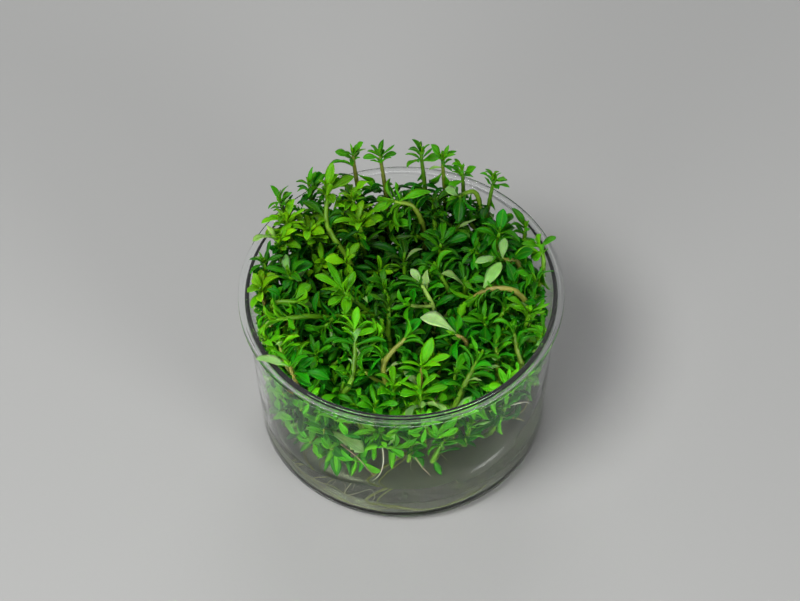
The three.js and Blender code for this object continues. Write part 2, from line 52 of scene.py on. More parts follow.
camera_data = bpy.data.cameras.new("camera")
camera_data.lens = 105
camera_data.sensor_width = 36
camera_data.clip_start = 0.05
camera_data.clip_end = 20
camera = bpy.data.objects.new("camera", camera_data)
bpy.context.scene.collection.objects.link(camera)
place = TARGET + DISTANCE * Vector((0, -math.cos(ELEVATION), math.sin(ELEVATION)))
tilt = Matrix.Rotation(math.pi / 2 - ELEVATION, 4, "X") @ Matrix.Rotation(ROLL, 4, "Z")
camera.matrix_world = Matrix.Translation(place) @ tilt
bpy.context.scene.camera = camera

# Cup sizes
CUP_HEIGHT = 51.2
RIM_RADIUS = 42.5
RIM_THICKNESS = 0.9
RIM_BEAD_WIDTH = 1.0
RIM_BEAD_HEIGHT = 1.5
BODY_TOP_RADIUS = 40.7
BODY_FOOT_RADIUS = 39.0
MOUTH_RADIUS = 39.6
WALL = 1.1
FLOOR = 1.2
FOOT_RING_OUTER = 35.8
FOOT_RING_INNER = 32.4
RECESS_RADIUS = 31.0
RECESS_DEPTH = 1.6

# Gel sizes
GEL_MIDDLE_HEIGHT = 15.7
GEL_SLOPE = 0.25
GEL_FLAT_REACH = 9
GEL_PROUD = 0.04
ROOT_DEPTH = 3

# Plantlet sizes. Places along a stem or a leaf run from 0 at its foot to 1 at its tip.
STEM_RADIUS = 0.8
LEAF_LENGTH = 7
TALL_HEIGHT = 57.2
TALL_LEAF_LENGTH = 4.9
LEAF_WIDTH_SHARE = 0.34
LEAF_ARCH_SHARE = 0.1
LEAF_WIDEST = 0.62
CROWN_PLACE = 0.99
CROWN_STEP = 0.006
CROWN_LEANS = (0.75, 1.25)
CROWN_LENGTHS = (0.75, 1.05)
CROWN_SPREAD = 0.25
PAIR_BELOW_TIP = 6.5
TALL_PAIR_BELOW_TIP = 3
PAIR_LEANS = (1, 1.4)
PAIR_LENGTHS = (0.9, 1.2)
PAIR_SPREAD = 0.3
CLEARANCE = 0.35
OWN_OVERLAP = 0.5
GEL_CLEARANCE = 0.4
REACH_LIMIT = 42.4
RIM_REACH = 40.2
OPEN_HEIGHT = 55
BARE_RIM = 36.3
BARE_FRONT = 6
BARE_LEFT = -13
SIGHT_SLOPE = 0.77
LEAF_BALL_PLACES = (0.3, 0.45, 0.6, 0.8, 1)
LEAF_BALL_LEAST = 0.28
LEAF_BALL_SHARE = 0.42
STEM_BALL_SPACING = 1.2
SHOOT_RADIUS = 0.5
SHOOT_ROOM = 0.55
SHOOT_TIP_ROOM = 1.6
NEAR_SHOOT = 18
NEAR_BLADE = 14
BLADE_RADIUS = 0.12
BLADE_ROOM = 0.36
WALL_GAP = 0.2
MOST_BALLS = 60000
FIRST_SEED = 101
SEED_STEP = 37
GROWTH_SEED = 500

# Colours of leaves and stems as linear light. Deep also serves as painted shade, for leaves low in the
# foliage and between the stems, and bright as painted light, for leaves against the wall.
TONES = {
    "lime": np.array((0.125, 0.380, 0.0015)),
    "bright": np.array((0.066, 0.335, 0.001)),
    "fresh": np.array((0.006, 0.168, 0.001)),
    "deep": np.array((0.0015, 0.060, 0.001)),
    "pale": np.array((0.330, 0.560, 0.190)),
}
YOUNG = np.array((0.125, 0.42, 0.002))
PETIOLE = np.array((0.16, 0.37, 0.012))
RIB_LIGHT = np.array((0.02, 0.03, 0.002))
STEM_GREEN = np.array((0.110, 0.335, 0.005))
STEM_TAN = np.array((0.330, 0.325, 0.050))
STEM_PINK = np.array((0.400, 0.200, 0.100))

# The one stem that is pale
PALE_STEM = "mid_4"
STEM_PALE = np.array((0.460, 0.740, 0.130))

# Each plantlet: name, tone, leaves in its crown, foot on the gel, the points its stem passes through,
# and the leaves that stand out as (place along the stem, tip of the leaf, width)
PLANTLETS = [
    ("back_1", "fresh", 4, (-9, 27), [(-11, 35.5, 46), (-12.3, 38.2, 61.2)],
     [(0.95, (-17, 38.4, 62.2), 2.4), (0.98, (-9.4, 38.8, 65.5), 2)]),
    ("back_2", "fresh", 4, (-2.5, 26), [(-3.6, 34.4, 48), (-5, 37.8, 61)],
     [(0.96, (-9.6, 37.5, 60.5), 2), (0.96, (-0.6, 38, 61.5), 2)]),
    ("back_3", "bright", 3, (3, 19), [(6.6, 25.5, 42), (3.5, 27.5, 52), (-1.5, 27.3, 54.5)],
     [(0.93, (8.5, 28.5, 56.5), 2.8), (0.97, (-7.5, 25, 53), 3)]),
    ("back_4", "fresh", 4, (5, 27), [(7, 35, 47), (5.9, 38.2, 61.3)],
     [(0.9, (11, 37.4, 60), 3.2), (0.98, (3.6, 39, 66), 2)]),
    ("back_5", "fresh", 4, (12, 25), [(12.3, 34.6, 47), (11.6, 36.6, 60.2)],
     [(0.97, (8.6, 38, 65), 2.2)]),
    ("back_6", "bright", 4, (16.5, 22), [(17.3, 32.5, 46), (17, 35, 57.4)],
     [(0.9, (20.6, 35, 59), 2.2), (0.85, (13.2, 32.4, 53.8), 2.4)]),
    ("back_7", "fresh", 4, (22, 18), [(23.4, 28, 46), (25.2, 31.4, 57.8)],
     [(0.97, (28.8, 31, 58), 1.6)]),
    ("back_8", "deep", 4, (9, 17), [(9.8, 24.5, 39), (9, 29.5, 50.5)], []),
    ("left_1", "fresh", 4, (-23, 17), [(-28.6, 22.4, 46), (-31.8, 25.8, 57.4)],
     [(0.98, (-34, 27.6, 61.5), 1.8)]),
    ("left_2", "fresh", 3, (-18, 22), [(-23, 29, 47), (-23.9, 31, 57.5)],
     [(0.97, (-22.8, 32.6, 63), 1.3)]),
    ("left_3", "bright", 4, (-6, 10), [(-13.5, 16.5, 42), (-19.3, 21.6, 52), (-19, 30, 57)],
     [(0.98, (-17.5, 33, 64), 2.6), (0.97, (-12, 32, 59.5), 3), (0.96, (-17.4, 24, 58), 2.6)]),
    ("left_4", "bright", 4, (-9, 19), [(-12, 26.5, 44), (-12.6, 29, 54)], []),
    ("left_5", "bright", 4, (-5, 15.5), [(-9.5, 19.5, 41), (-10.6, 21.4, 52)],
     [(0.97, (-6.5, 19.5, 54.5), 2.8)]),
    ("left_6", "bright", 4, (-22, 11), [(-28.5, 18.5, 44), (-30, 21.3, 54.5)], []),
    ("left_7", "bright", 4, (-26, 7.5), [(-31, 13, 42), (-32.2, 16, 53)], []),
    ("left_8", "fresh", 4, (-17, 13), [(-23, 17, 41), (-24.3, 19.5, 52)],
     [(0.95, (-20, 17, 54), 3.2)]),
    ("left_9", "fresh", 4, (-22, 2), [(-27, 4.5, 40), (-29, 5.5, 51)],
     [(0.96, (-23, 8.5, 52), 4), (0.92, (-30.4, -1, 53.5), 2.4)]),
    ("left_10", "fresh", 4, (-29, 4.5), [(-34.5, 8.5, 42), (-36, 9.5, 51.5)], []),
    ("left_11", "bright", 4, (-30.5, -1.5), [(-35, 0, 40), (-36.5, 0.8, 50.5)], []),
    ("left_12", "bright", 4, (-17.5, -2), [(-17.5, -3.2, 42), (-23.5, -6.2, 48.6), (-32.5, -9.3, 51.5)],
     []),
    ("left_13", "bright", 4, (-28.5, -6), [(-35.4, -5, 43), (-32.8, -3.2, 50.5), (-27, -3.6, 51.5)],
     [(0.96, (-23.6, 1.2, 52.5), 3.2)]),
    ("left_14", "bright", 4, (-27, -12), [(-33.5, -14, 42), (-34.8, -15, 50)], []),
    ("left_15", "bright", 4, (-23, -17.5), [(-28, -22, 43.5), (-30, -20.8, 48.8), (-31.3, -17.8, 51.5)],
     []),
    ("left_16", "pale", 2, (-20, -21.5), [(-26.5, -24.6, 41), (-28.6, -24, 51.2)],
     [(0.98, (-37, -24.3, 55), 3.2), (0.85, (-18.5, -26.5, 48.5), 2.6)]),
    ("mid_1", "bright", 4, (-3, 3), [(-7, -1, 41.5), (-10.8, -1.4, 46.8), (-15.2, 0.3, 50.5)],
     [(0.97, (-22.5, 3.8, 53), 2.8), (0.96, (-19, 7, 54.5), 2.4), (0.94, (-12, 4.5, 53.5), 2.4),
      (0.93, (-19, -4.5, 51), 2.4), (0.93, (-14.5, -6.6, 50), 3)]),
    ("mid_2", "deep", 3, (0, -7.5), [(-2, -11.5, 34), (-3.4, -7.6, 42), (-3.2, -2.8, 48.5)],
     [(0.75, (2.6, -9, 46), 2)]),
    ("mid_3", "fresh", 4, (-5, -16), [(-4.3, -23, 40), (-4.6, -20, 46.5), (1.2, -15, 50.8)],
     [(0.96, (5, -11, 53), 3)]),
    ("mid_4", "pale", 3, (9.5, -1.5), [(8.6, -1.4, 44), (6.8, -0.2, 49), (5.3, 1.4, 51.5)],
     [(0.97, (2.6, 4.6, 54), 2.4)]),
    ("mid_5", "fresh", 4, (15, 1), [(13.6, 1.8, 41), (12.2, 3.8, 46.5), (9.8, 6.8, 50)], []),
    ("mid_6", "fresh", 4, (9, 10), [(10.2, 15.5, 38), (10.8, 17.2, 49)],
     [(0.93, (18, 18.5, 50), 3)]),
    ("mid_7", "fresh", 4, (-1, 8), [(-3.5, 3.5, 36), (-4.2, 4.4, 46)], []),
    ("mid_8", "pale", 2, (14.5, -8), [(16.5, -12.4, 40), (16.4, -13.4, 46.5), (13.8, -13.6, 49.6)],
     [(0.97, (4.8, -10.6, 53), 4.6)]),
    ("mid_9", "bright", 4, (-12, -18.5),
     [(-17.4, -26.6, 38), (-13.6, -24.8, 44), (-12.2, -19, 48), (-12.2, -12.6, 51.5)],
     [(0.97, (-11.2, -8.6, 55.5), 2.4), (0.93, (-6.8, -14, 52.5), 2.8)]),
    ("mid_10", "fresh", 4, (-13, -6.5), [(-13.3, -7.4, 43), (-16.4, -6, 48.2), (-20, -9.6, 48.4)], []),
    ("mid_11", "fresh", 4, (-18, -13.5), [(-21.5, -16, 38), (-22, -17, 46.5)], []),
    ("mid_12", "bright", 4, (2, -15.5), [(4.4, -23.6, 40), (5, -22.6, 48)],
     [(0.96, (7.8, -17, 53), 3), (0.96, (12.2, -21.4, 51), 2.4)]),
    ("mid_13", "deep", 4, (1, 1.8), [(1.2, 10.5, 36), (1, 13.5, 46)], []),
    ("right_1", "pale", 2, (20, 22), [(22, 29.6, 45), (20, 31.4, 53), (15.6, 29, 54)],
     [(0.97, (12.2, 30, 56), 3.4), (0.95, (15.4, 22.4, 51), 3.2)]),
    ("right_2", "fresh", 3, (19.5, 12.5), [(25, 16.5, 42), (26.3, 18, 52)],
     [(0.98, (27.4, 21.6, 57.5), 3.2), (0.93, (27.6, 11.5, 52.5), 3)]),
    ("right_3", "pale", 3, (26.5, 5.5), [(31.6, 9.6, 44), (30.8, 10.2, 49), (26, 8.9, 52)],
     [(0.97, (19.5, 7.2, 53), 2.8), (0.95, (27.5, 14, 54.5), 2.6), (0.9, (29.5, 1.4, 52), 3)]),
    ("right_4", "fresh", 4, (27, 14), [(32.4, 18.6, 42), (33.4, 19.6, 51.5)], []),
    ("right_5", "bright", 3, (31, 6), [(35.8, 6, 40), (37.6, 8.8, 50.4), (36.8, 12, 53.2)],
     [(0.97, (31.8, 12, 54.5), 2.4), (0.97, (41, 14.5, 54), 2.2), (0.9, (35, 8.5, 51.5), 2.2)]),
    ("right_6", "bright", 4, (28.5, -4.5),
     [(33.8, -3.6, 44.5), (29.6, -1.6, 51.8), (23.3, -0.9, 52), (18.7, -1.4, 49.5)],
     [(0.88, (26.2, 5.6, 54.8), 3.8)]),
    ("right_7", "bright", 4, (29, -8.5), [(32, -8, 41), (33, -7, 49.5)], []),
    ("right_8", "pale", 4, (21.5, -17), [(24.6, -21.4, 39), (24.2, -16.6, 48.4)],
     [(0.8, (23.6, -22, 49.5), 2.6)]),
    ("right_9", "fresh", 4, (27, -14.5), [(31, -18.4, 39.5), (29.6, -16.4, 46.2), (29, -13, 49)], []),
    ("right_10", "fresh", 4, (13, -21.5), [(12.6, -30.4, 38.5), (15.8, -26.8, 45.8), (19.4, -21.2, 49)],
     []),
    ("right_11", "fresh", 4, (17.5, 5), [(16.9, 3.2, 38), (16.6, 3.9, 47.5)], []),
    ("right_12", "fresh", 4, (29.5, 0.8), [(34.8, 1.6, 40), (35.2, 3.4, 49.5)], []),
    ("right_13", "fresh", 4, (19.5, -6.5), [(22.4, -8.4, 38), (21.6, -8, 47)],
     [(0.95, (21.5, -14, 46), 3.6)]),
    ("front_1", "bright", 4, (5.5, -22), [(4.8, -31.8, 38), (4.4, -29.6, 46.5)],
     [(0.97, (11.4, -29.4, 48.5), 2.6), (0.96, (-0.8, -31, 47.5), 2.8)]),
    ("front_2", "bright", 4, (-2, -21.5), [(-3, -31.5, 38), (-2.3, -28.6, 47)], []),
    ("front_3", "fresh", 4, (-8, -21.5), [(-8.2, -33, 34), (-7.2, -32.2, 44)], []),
    ("front_4", "pale", 3, (-14.5, -24.5), [(-19.6, -28.4, 25), (-20.4, -29, 31)],
     [(0.97, (-10.4, -34.2, 27.4), 4.2)]),
    ("front_5", "fresh", 4, (1.5, -26), [(1.2, -34.4, 24), (2, -34.6, 30)], []),
    ("front_6", "fresh", 4, (9.5, -25), [(7.4, -34.2, 23), (10.2, -33, 30)], []),
    ("front_7", "bright", 4, (17, -22.5), [(15.5, -31.6, 27), (17.2, -30.6, 33)], []),
    ("front_8", "fresh", 4, (22, -22.5), [(25, -25.6, 29), (26.6, -24.4, 35)], []),
]

# How tan or pink a stem is: (tan at its foot, tan at its tip, pink at its tip)
STEM_TINTS = {
    "back_1": (0.3, 0.7, 0.2), "back_2": (0.3, 0.6, 0.1), "back_5": (0.2, 0.5, 0.0),
    "left_3": (0.3, 0.25, 0.0), "left_15": (0.5, 0.7, 0.2), "left_16": (0.4, 0.9, 0.5),
    "left_12": (0.05, 0.1, 0.0), "left_11": (0.5, 0.9, 0.6), "mid_3": (0.3, 0.7, 0.2),
    "mid_8": (0.4, 0.9, 0.6), "mid_12": (0.3, 0.9, 0.4), "mid_2": (0.05, 0.1, 0.0),
    "right_1": (0.1, 0.35, 0.0), "right_3": (0.4, 0.7, 0.6), "right_6": (0.4, 0.8, 0.6),
    "right_8": (0.2, 0.3, 0.1), "right_10": (0.1, 0.25, 0.0), "right_9": (0.3, 0.3, 0.2),
    "front_4": (0.3, 0.6, 0.2), "back_3": (0.3, 0.5, 0.1),
}

# The plantlets whose leaves are short, round and yellowish
ROUND_LEAVED = ("left_3", "left_4", "left_5", "left_6", "left_7", "left_8", "left_11")

# The stretch of stem that shows between the leaves, from and to
SHOWN_STEMS = {
    "left_3": (0.45, 0.8), "left_11": (0.75, 0.96), "left_12": (0.6, 0.97), "left_13": (0.6, 0.97),
    "left_15": (0.45, 0.95), "left_16": (0.6, 0.95), "mid_1": (0.6, 0.95), "mid_2": (0.4, 0.9),
    "mid_3": (0.4, 0.95), "mid_4": (0.6, 0.97), "mid_8": (0.6, 0.98), "mid_9": (0.45, 0.9),
    "mid_12": (0.5, 0.95), "right_1": (0.45, 0.97), "right_6": (0.45, 0.97), "right_9": (0.5, 0.95),
    "right_10": (0.45, 0.95), "back_1": (0.68, 0.95), "back_2": (0.62, 0.95), "back_3": (0.45, 0.97),
    "back_4": (0.68, 0.95), "back_5": (0.68, 0.95), "back_6": (0.7, 0.95),
}

# How many of the leaves that stand out are pale, and how pale
PALE_LEAVES = {
    "right_3": (2, 0.6), "right_6": (1, 0.5), "right_1": (1, 0.6), "left_16": (1, 0.8),
    "mid_4": (1, 0.9), "mid_8": (1, 1.0), "right_8": (1, 0.5), "front_4": (1, 0.85),
}


class Draws:
    """Numbers between 0 and 1 that come out the same on every run."""

    def __init__(self, seed):
        self.state = seed

    def next(self):
        self.state = (self.state * 16807) % 2147483647
        return self.state / 2147483647

    def between(self, low, high):
        return low + (high - low) * self.next()


def gel_top(x):
    """The height of the gel's top, as the solids have it."""
    beyond = max(abs(x) - GEL_FLAT_REACH, 0)
    return GEL_MIDDLE_HEIGHT + GEL_SLOPE * beyond * (1 if x > 0 else -1)


def inner_wall(z):
    """The radius of the cup's inside."""
    foot = BODY_FOOT_RADIUS - WALL
    return foot + (MOUTH_RADIUS - foot) * (z / CUP_HEIGHT)


UP = np.array((0, 0, 1.0))


def unit(v):
    return v / np.linalg.norm(v)


def square_to(axis):
    """A direction square to an axis."""
    return unit(np.cross(axis, (0, 1, 0) if abs(axis[1]) < 0.9 else (1, 0, 0)))


def around(axis, turn):
    """A direction square to an axis, turned about it."""
    first = square_to(axis)
    return first * math.cos(turn) + np.cross(axis, first) * math.sin(turn)


class Curve:
    """A smooth line through points, and its places by share or by length."""

    STEPS = 200

    def __init__(self, points):
        self.points = [np.array(p, float) for p in points]
        count = len(self.points)
        first = 2 * self.points[0] - self.points[1]
        last = 2 * self.points[-1] - self.points[-2]
        padded = [first, *self.points, last]
        self.pieces = []
        for k in range(count - 1):
            p0, p1, p2, p3 = padded[k:k + 4]
            d0, d1, d2 = (math.sqrt(np.linalg.norm(b - a)) for a, b in ((p0, p1), (p1, p2), (p2, p3)))
            start = ((p1 - p0) / d0 - (p2 - p0) / (d0 + d1) + (p2 - p1) / d1) * d1
            end = ((p2 - p1) / d1 - (p3 - p1) / (d1 + d2) + (p3 - p2) / d2) * d1
            second = -3 * p1 + 3 * p2 - 2 * start - end
            third = 2 * p1 - 2 * p2 + start + end
            self.pieces.append((p1, start, second, third))
        knots = np.array([self.point(k / self.STEPS) for k in range(self.STEPS + 1)])
        self.lengths = np.concatenate(([0], np.cumsum(np.linalg.norm(np.diff(knots, axis=0), axis=1))))
        self.length = self.lengths[-1]

    def point(self, t):
        place = (len(self.points) - 1) * t
        k = min(int(math.floor(place)), len(self.pieces) - 1)
        w = place - k
        c0, c1, c2, c3 = self.pieces[k]
        return c0 + w * (c1 + w * (c2 + w * c3))

    def tangent(self, t):
        return unit(self.point(min(t + 1e-4, 1)) - self.point(max(t - 1e-4, 0)))

    def share_at(self, length):
        return float(np.interp(length, self.lengths, np.linspace(0, 1, self.STEPS + 1)))

    def spaced(self, spacing, least):
        """Lengths along the line, and the points there."""
        lengths = np.linspace(0, self.length, max(int(self.length / spacing), least) + 1)
        return lengths, np.array([self.point(self.share_at(x)) for x in lengths])


class Room:
    """Every ball that stands for a leaf or a stem, to find room for the next one."""

    def __init__(self, size):
        self.at = np.zeros((size, 3))
        self.radius = np.zeros(size)
        self.owner = np.zeros(size, int)
        self.outer = np.zeros(size, bool)
        self.count = 0

    def add(self, at, radius, owner, outer):
        n = len(at)
        part = slice(self.count, self.count + n)
        self.at[part], self.radius[part], self.owner[part], self.outer[part] = at, radius, owner, outer
        self.count += n

    def near(self, centre, reach):
        at = self.at[:self.count]
        found = np.nonzero(np.all(np.abs(at - centre) < reach, axis=1))[0]
        return at[found], self.radius[found], self.owner[found], self.outer[found]


def hides_rim(x, y, z):
    """Whether a point stands before the rim at the back, which shows between the tall plantlets."""
    out = math.hypot(x, y + SIGHT_SLOPE * (z - CUP_HEIGHT))
    return y > BARE_FRONT and x > BARE_LEFT and out > BARE_RIM


def inside(at, radius, fringe=False):
    """Whether balls stay above the gel and within the wall, or over the rim."""
    for (x, y, z), r in zip(at, radius):
        out = math.hypot(x, y)
        if fringe and z < lowest(x, y):
            return False
        if z - r < gel_top(x) + GEL_CLEARANCE:
            return False
        if z - r < CUP_HEIGHT + CLEARANCE:
            if out + r >= inner_wall(min(z, CUP_HEIGHT)) - CLEARANCE:
                return False
        elif out + r >= (RIM_REACH if z < OPEN_HEIGHT else REACH_LIMIT):
            return False
    return True


def has_room(at, radius, outer, owner, near, gap, own_gap, fringe=False):
    """Whether balls keep a gap to those near them; on one plantlet only outer ones are compared."""
    if not inside(at, radius, fringe):
        return False
    other_at, other_radius, other_owner, other_outer = near
    if len(other_at) == 0:
        return True
    reach = np.linalg.norm(other_at[None] - at[:, None], axis=2) - other_radius[None] - radius[:, None]
    same = other_owner == owner
    limit = np.where(same, own_gap, gap)[None]
    counts = ~(same[None] & ~(other_outer[None] & outer[:, None]))
    return not np.any(counts & (reach <= limit))


def make_leaf(base, tip, up_hint, width, kind):
    along = tip - base
    length = float(np.linalg.norm(along))
    direction = along / length
    up = unit(up_hint - direction * (up_hint @ direction))
    return {
        "base": base, "tip": tip, "up": up, "side": np.cross(direction, up), "direction": direction,
        "width": width, "length": length, "arch": LEAF_ARCH_SHARE * length, "kind": kind,
    }


def leaf_point(leaf, s):
    straight = leaf["base"] + (leaf["tip"] - leaf["base"]) * s
    return straight + leaf["up"] * (4 * leaf["arch"] * s * (1 - s))


def leaf_balls(leaf):
    at = np.array([leaf_point(leaf, s) for s in LEAF_BALL_PLACES])
    spread = np.array([s / LEAF_WIDEST if s < LEAF_WIDEST else (1 - s) / (1 - LEAF_WIDEST)
                       for s in LEAF_BALL_PLACES])
    radius = LEAF_BALL_LEAST + LEAF_BALL_SHARE * leaf["width"] * spread
    return at, radius, np.array(LEAF_BALL_PLACES) > 0.5


def leaf_on_stem(curve, t, turn, lean, length, width_share, kind):
    axis = curve.tangent(t)
    direction = around(axis, turn) * math.sin(lean) + axis * math.cos(lean)
    base = curve.point(t)
    return make_leaf(base, base + direction * length, axis, length * width_share, kind)


SHOOT_TRIES = 9
TURN_TRIES = (0, 0.4, -0.4, 0.8, -0.8)
LEAN_TRIES = (0, -0.35, 0.35)
LENGTH_TRIES = (1, 0.75, 0.55)


def try_leaf(plant, curve, t, turn, lean, length, kind, width_share=LEAF_WIDTH_SHARE,
             gap=CLEARANCE, own_gap=-OWN_OVERLAP):
    """Grow a leaf, turned, leaned or shortened until it has room."""
    near = room.near(curve.point(t), length + 4)
    added = gap < CLEARANCE
    fringe = added and kind in ("whorl", "pair")
    for share in LENGTH_TRIES:
        for extra_lean in LEAN_TRIES:
            for extra_turn in TURN_TRIES:
                leaf = leaf_on_stem(curve, t, turn + extra_turn, lean + extra_lean, length * share,
                                    width_share, kind)
                at, radius, outer = leaf_balls(leaf)
                if added and kind != "crown" and any(hides_rim(*place) for place in at):
                    continue
                if has_room(at, radius, outer, plant["index"], near, gap, own_gap, fringe):
                    room.add(at, radius, plant["index"], outer)
                    plant["leaves"].append(leaf)
                    return


def add_stem(plant, curve):
    count = math.ceil(curve.length / STEM_BALL_SPACING)
    at = np.array([curve.point(k / count) for k in range(count + 1)])
    room.add(at, STEM_RADIUS, plant["index"], False)


# The plantlets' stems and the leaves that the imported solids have
room = Room(MOST_BALLS)
plants = []
for index, (name, tone, crown, foot, stem, stand_out) in enumerate(PLANTLETS):
    draws = Draws(FIRST_SEED + SEED_STEP * index)
    phase = draws.between(0, 2 * math.pi)
    curve = Curve([(foot[0], foot[1], gel_top(foot[0]) - ROOT_DEPTH), *stem])
    tall = stem[-1][2] > TALL_HEIGHT
    plant = {
        "name": name, "tone": tone, "crown": crown, "stand_out": stand_out, "index": index,
        "draws": draws, "random": random.Random(GROWTH_SEED + index), "phase": phase, "curve": curve,
        "leaves": [], "shoots": [], "tall": tall,
        "leaf_length": TALL_LEAF_LENGTH if tall else LEAF_LENGTH,
        "pair_below_tip": TALL_PAIR_BELOW_TIP if tall else PAIR_BELOW_TIP,
    }
    plants.append(plant)
    add_stem(plant, curve)
for plant in plants:
    for order, (t, tip, width) in enumerate(plant["stand_out"]):
        leaf = make_leaf(plant["curve"].point(t), np.array(tip, float), UP, width, "stand_out")
        count, strength = PALE_LEAVES.get(plant["name"], (0, 0))
        leaf["pale"] = strength if order < count else 0
        at, radius, outer = leaf_balls(leaf)
        room.add(at, radius, plant["index"], outer)
        plant["leaves"].append(leaf)
for plant in plants:
    draws = plant["draws"]
    for k in range(plant["crown"]):
        turn = plant["phase"] + 2 * math.pi * (k / plant["crown"])
        turn += draws.between(-CROWN_SPREAD, CROWN_SPREAD)
        lean = draws.between(*CROWN_LEANS)
        length = plant["leaf_length"] * draws.between(*CROWN_LENGTHS)
        try_leaf(plant, plant["curve"], CROWN_PLACE - k * CROWN_STEP, turn, lean, length, "crown")
for plant in plants:
    draws = plant["draws"]
    t = 1 - plant["pair_below_tip"] / plant["curve"].length
    for half in (math.pi / 2, 3 * math.pi / 2):
        turn = plant["phase"] + half + draws.between(-PAIR_SPREAD, PAIR_SPREAD)
        lean = draws.between(*PAIR_LEANS)
        length = plant["leaf_length"] * draws.between(*PAIR_LENGTHS)
        try_leaf(plant, plant["curve"], t, turn, lean, length, "pair")


# The leaves and side shoots that fill the plantlets between those
def grow_buds(plant, curve, count, longest):
    rnd = plant["random"]
    for k in range(count):
        turn = rnd.uniform(0, 2 * math.pi)
        length = longest * rnd.uniform(0.5, 1.0)
        leaf = leaf_on_stem(curve, 0.995, turn, rnd.uniform(0.12, 0.65), length, 0.36, "bud")
        if inside(*leaf_balls(leaf)[:2]):
            plant["leaves"].append(leaf)


def grow_whorl(plant, curve, below_tip, count, leans, lengths, kind, gap, own_gap=-0.8, turn=None):
    """Leaves round a stem, with the gaps that they keep to others and to their own plantlet."""
    rnd = plant["random"]
    t = curve.share_at(curve.length - below_tip)
    start = rnd.uniform(0, 2 * math.pi) if turn is None else turn
    for k in range(count):
        angle = start + 2 * math.pi * k / count + rnd.uniform(-0.5, 0.5)
        share = rnd.uniform(0.3, 0.42)
        lean, length = rnd.uniform(*leans), rnd.uniform(*lengths)
        try_leaf(plant, curve, t, angle, lean, length, kind, share, gap, own_gap)


CANOPY_TOP = 52.5
HOLLOW_X, HOLLOW_Y = -1, 14
HOLLOW_DEPTH = 10
HOLLOW_SPREAD = 160


def canopy(plant, x, y):
    """How high a side shoot may reach."""
    own_tip = plant["curve"].points[-1][2]
    if own_tip < 40:
        return own_tip + 7
    hollow = HOLLOW_DEPTH * math.exp(-((x - HOLLOW_X) ** 2 + (y - HOLLOW_Y) ** 2) / HOLLOW_SPREAD)
    highest = min(own_tip + 1, CANOPY_TOP) - hollow
    if y > BARE_FRONT and x > BARE_LEFT:
        bare = math.sqrt(max((BARE_RIM - 2) ** 2 - x * x, 0))
        highest = min(highest, CUP_HEIGHT + (bare - y) / SIGHT_SLOPE)
    return highest


# Leaves that hang low before the gel: plantlet, place along its stem, tip, width
HANGING_LEAVES = [
    ("front_4", 0.62, (-17.6, -32.9, 14.2), 3.8), ("front_4", 0.70, (-20.2, -31.4, 15.6), 3.4),
    ("front_4", 0.66, (-14.2, -34.4, 17.0), 3.2), ("front_4", 0.8, (-21.6, -30.6, 22.0), 3.0),
    ("front_3", 0.45, (-11.6, -35.4, 20.5), 2.6), ("front_6", 0.55, (9.6, -36.3, 19.0), 2.4),
    ("front_2", 0.4, (-3.2, -37.2, 24.0), 2.8), ("front_5", 0.7, (4.6, -37.0, 23.4), 3.0),
]

# How low the leaves reach near the wall, by the angle round the cup from +X
FRINGE_ANGLES = (-180, -150, -140, -128, -119, -110, -104, -85, -72, -60, -48, -28, 0, 180)
FRINGE_HEIGHTS = (14, 12, 14, 18, 13, 18, 27, 28, 30, 26, 25.5, 25, 25, 14)
FRINGE_START = 18
FRINGE_BREADTH = 12


def lowest(x, y):
    """How low a leaf may reach."""
    angle = math.degrees(math.atan2(y, x))
    edge = float(np.interp(angle, FRINGE_ANGLES, FRINGE_HEIGHTS))
    share = min(max((math.hypot(x, y) - FRINGE_START) / FRINGE_BREADTH, 0), 1)
    return (gel_top(x) + 4) * (1 - share) + edge * share


def shoot_curve(plant, t, turn, out_reach, rise):
    curve = plant["curve"]
    base, axis = curve.point(t), curve.tangent(t)
    out = around(axis, turn)
    middle = base + out * (0.45 * out_reach) + axis * (0.25 * rise) + UP * (0.1 * rise)
    tip = base + out * out_reach + axis * (0.35 * rise) + UP * (0.65 * rise)
    return Curve([base, middle, tip])


def shoot_places(branch):
    """Places along a side shoot for the balls that stand for it."""
    count = math.ceil(branch.length / STEM_BALL_SPACING)
    return np.array([branch.point(k / count) for k in range(2, count + 1)])


def grow_shoot(plant, below_tip):
    rnd = plant["random"]
    curve = plant["curve"]
    if curve.length - below_tip < 14:
        return
    t = curve.share_at(curve.length - below_tip)
    for _ in range(SHOOT_TRIES):
        turn, reach, rise = rnd.uniform(0, 2 * math.pi), rnd.uniform(3.5, 8), rnd.uniform(5, 12)
        branch = shoot_curve(plant, t, turn, reach, rise)
        tip = branch.points[-1]
        if tip[2] > canopy(plant, tip[0], tip[1]):
            continue
        at = shoot_places(branch)
        radius = np.full(len(at), SHOOT_ROOM)
        radius[-1] = SHOOT_TIP_ROOM
        near = room.near(tip, NEAR_SHOOT)
        if has_room(at, radius, np.ones(len(at), bool), plant["index"], near, 0.1, 0.1):
            room.add(at, SHOOT_RADIUS, plant["index"], False)
            plant["shoots"].append(branch)
            phase = rnd.uniform(0, 2 * math.pi)
            count = rnd.choice((3, 4, 4))
            grow_whorl(plant, branch, 0.25, count, (0.4, 1.2), (3.8, 7), "crown", 0.1, -0.6, phase)
            grow_whorl(plant, branch, 2.6, 2, (0.7, 1.35), (5, 7.4), "pair", 0.0, -0.7, phase + 0.8)
            grow_buds(plant, branch, rnd.choice((3, 4)), 2.8)
            return


def keep_clear(at, radius, nearest, farthest):
    """Balls from a point towards the viewer, so that nothing grows in front of it."""
    towards = Vector((0, -math.cos(ELEVATION), math.sin(ELEVATION)))
    room.add(at + np.outer(np.arange(nearest, farthest, 1.6), np.array(towards)), radius, -1, True)


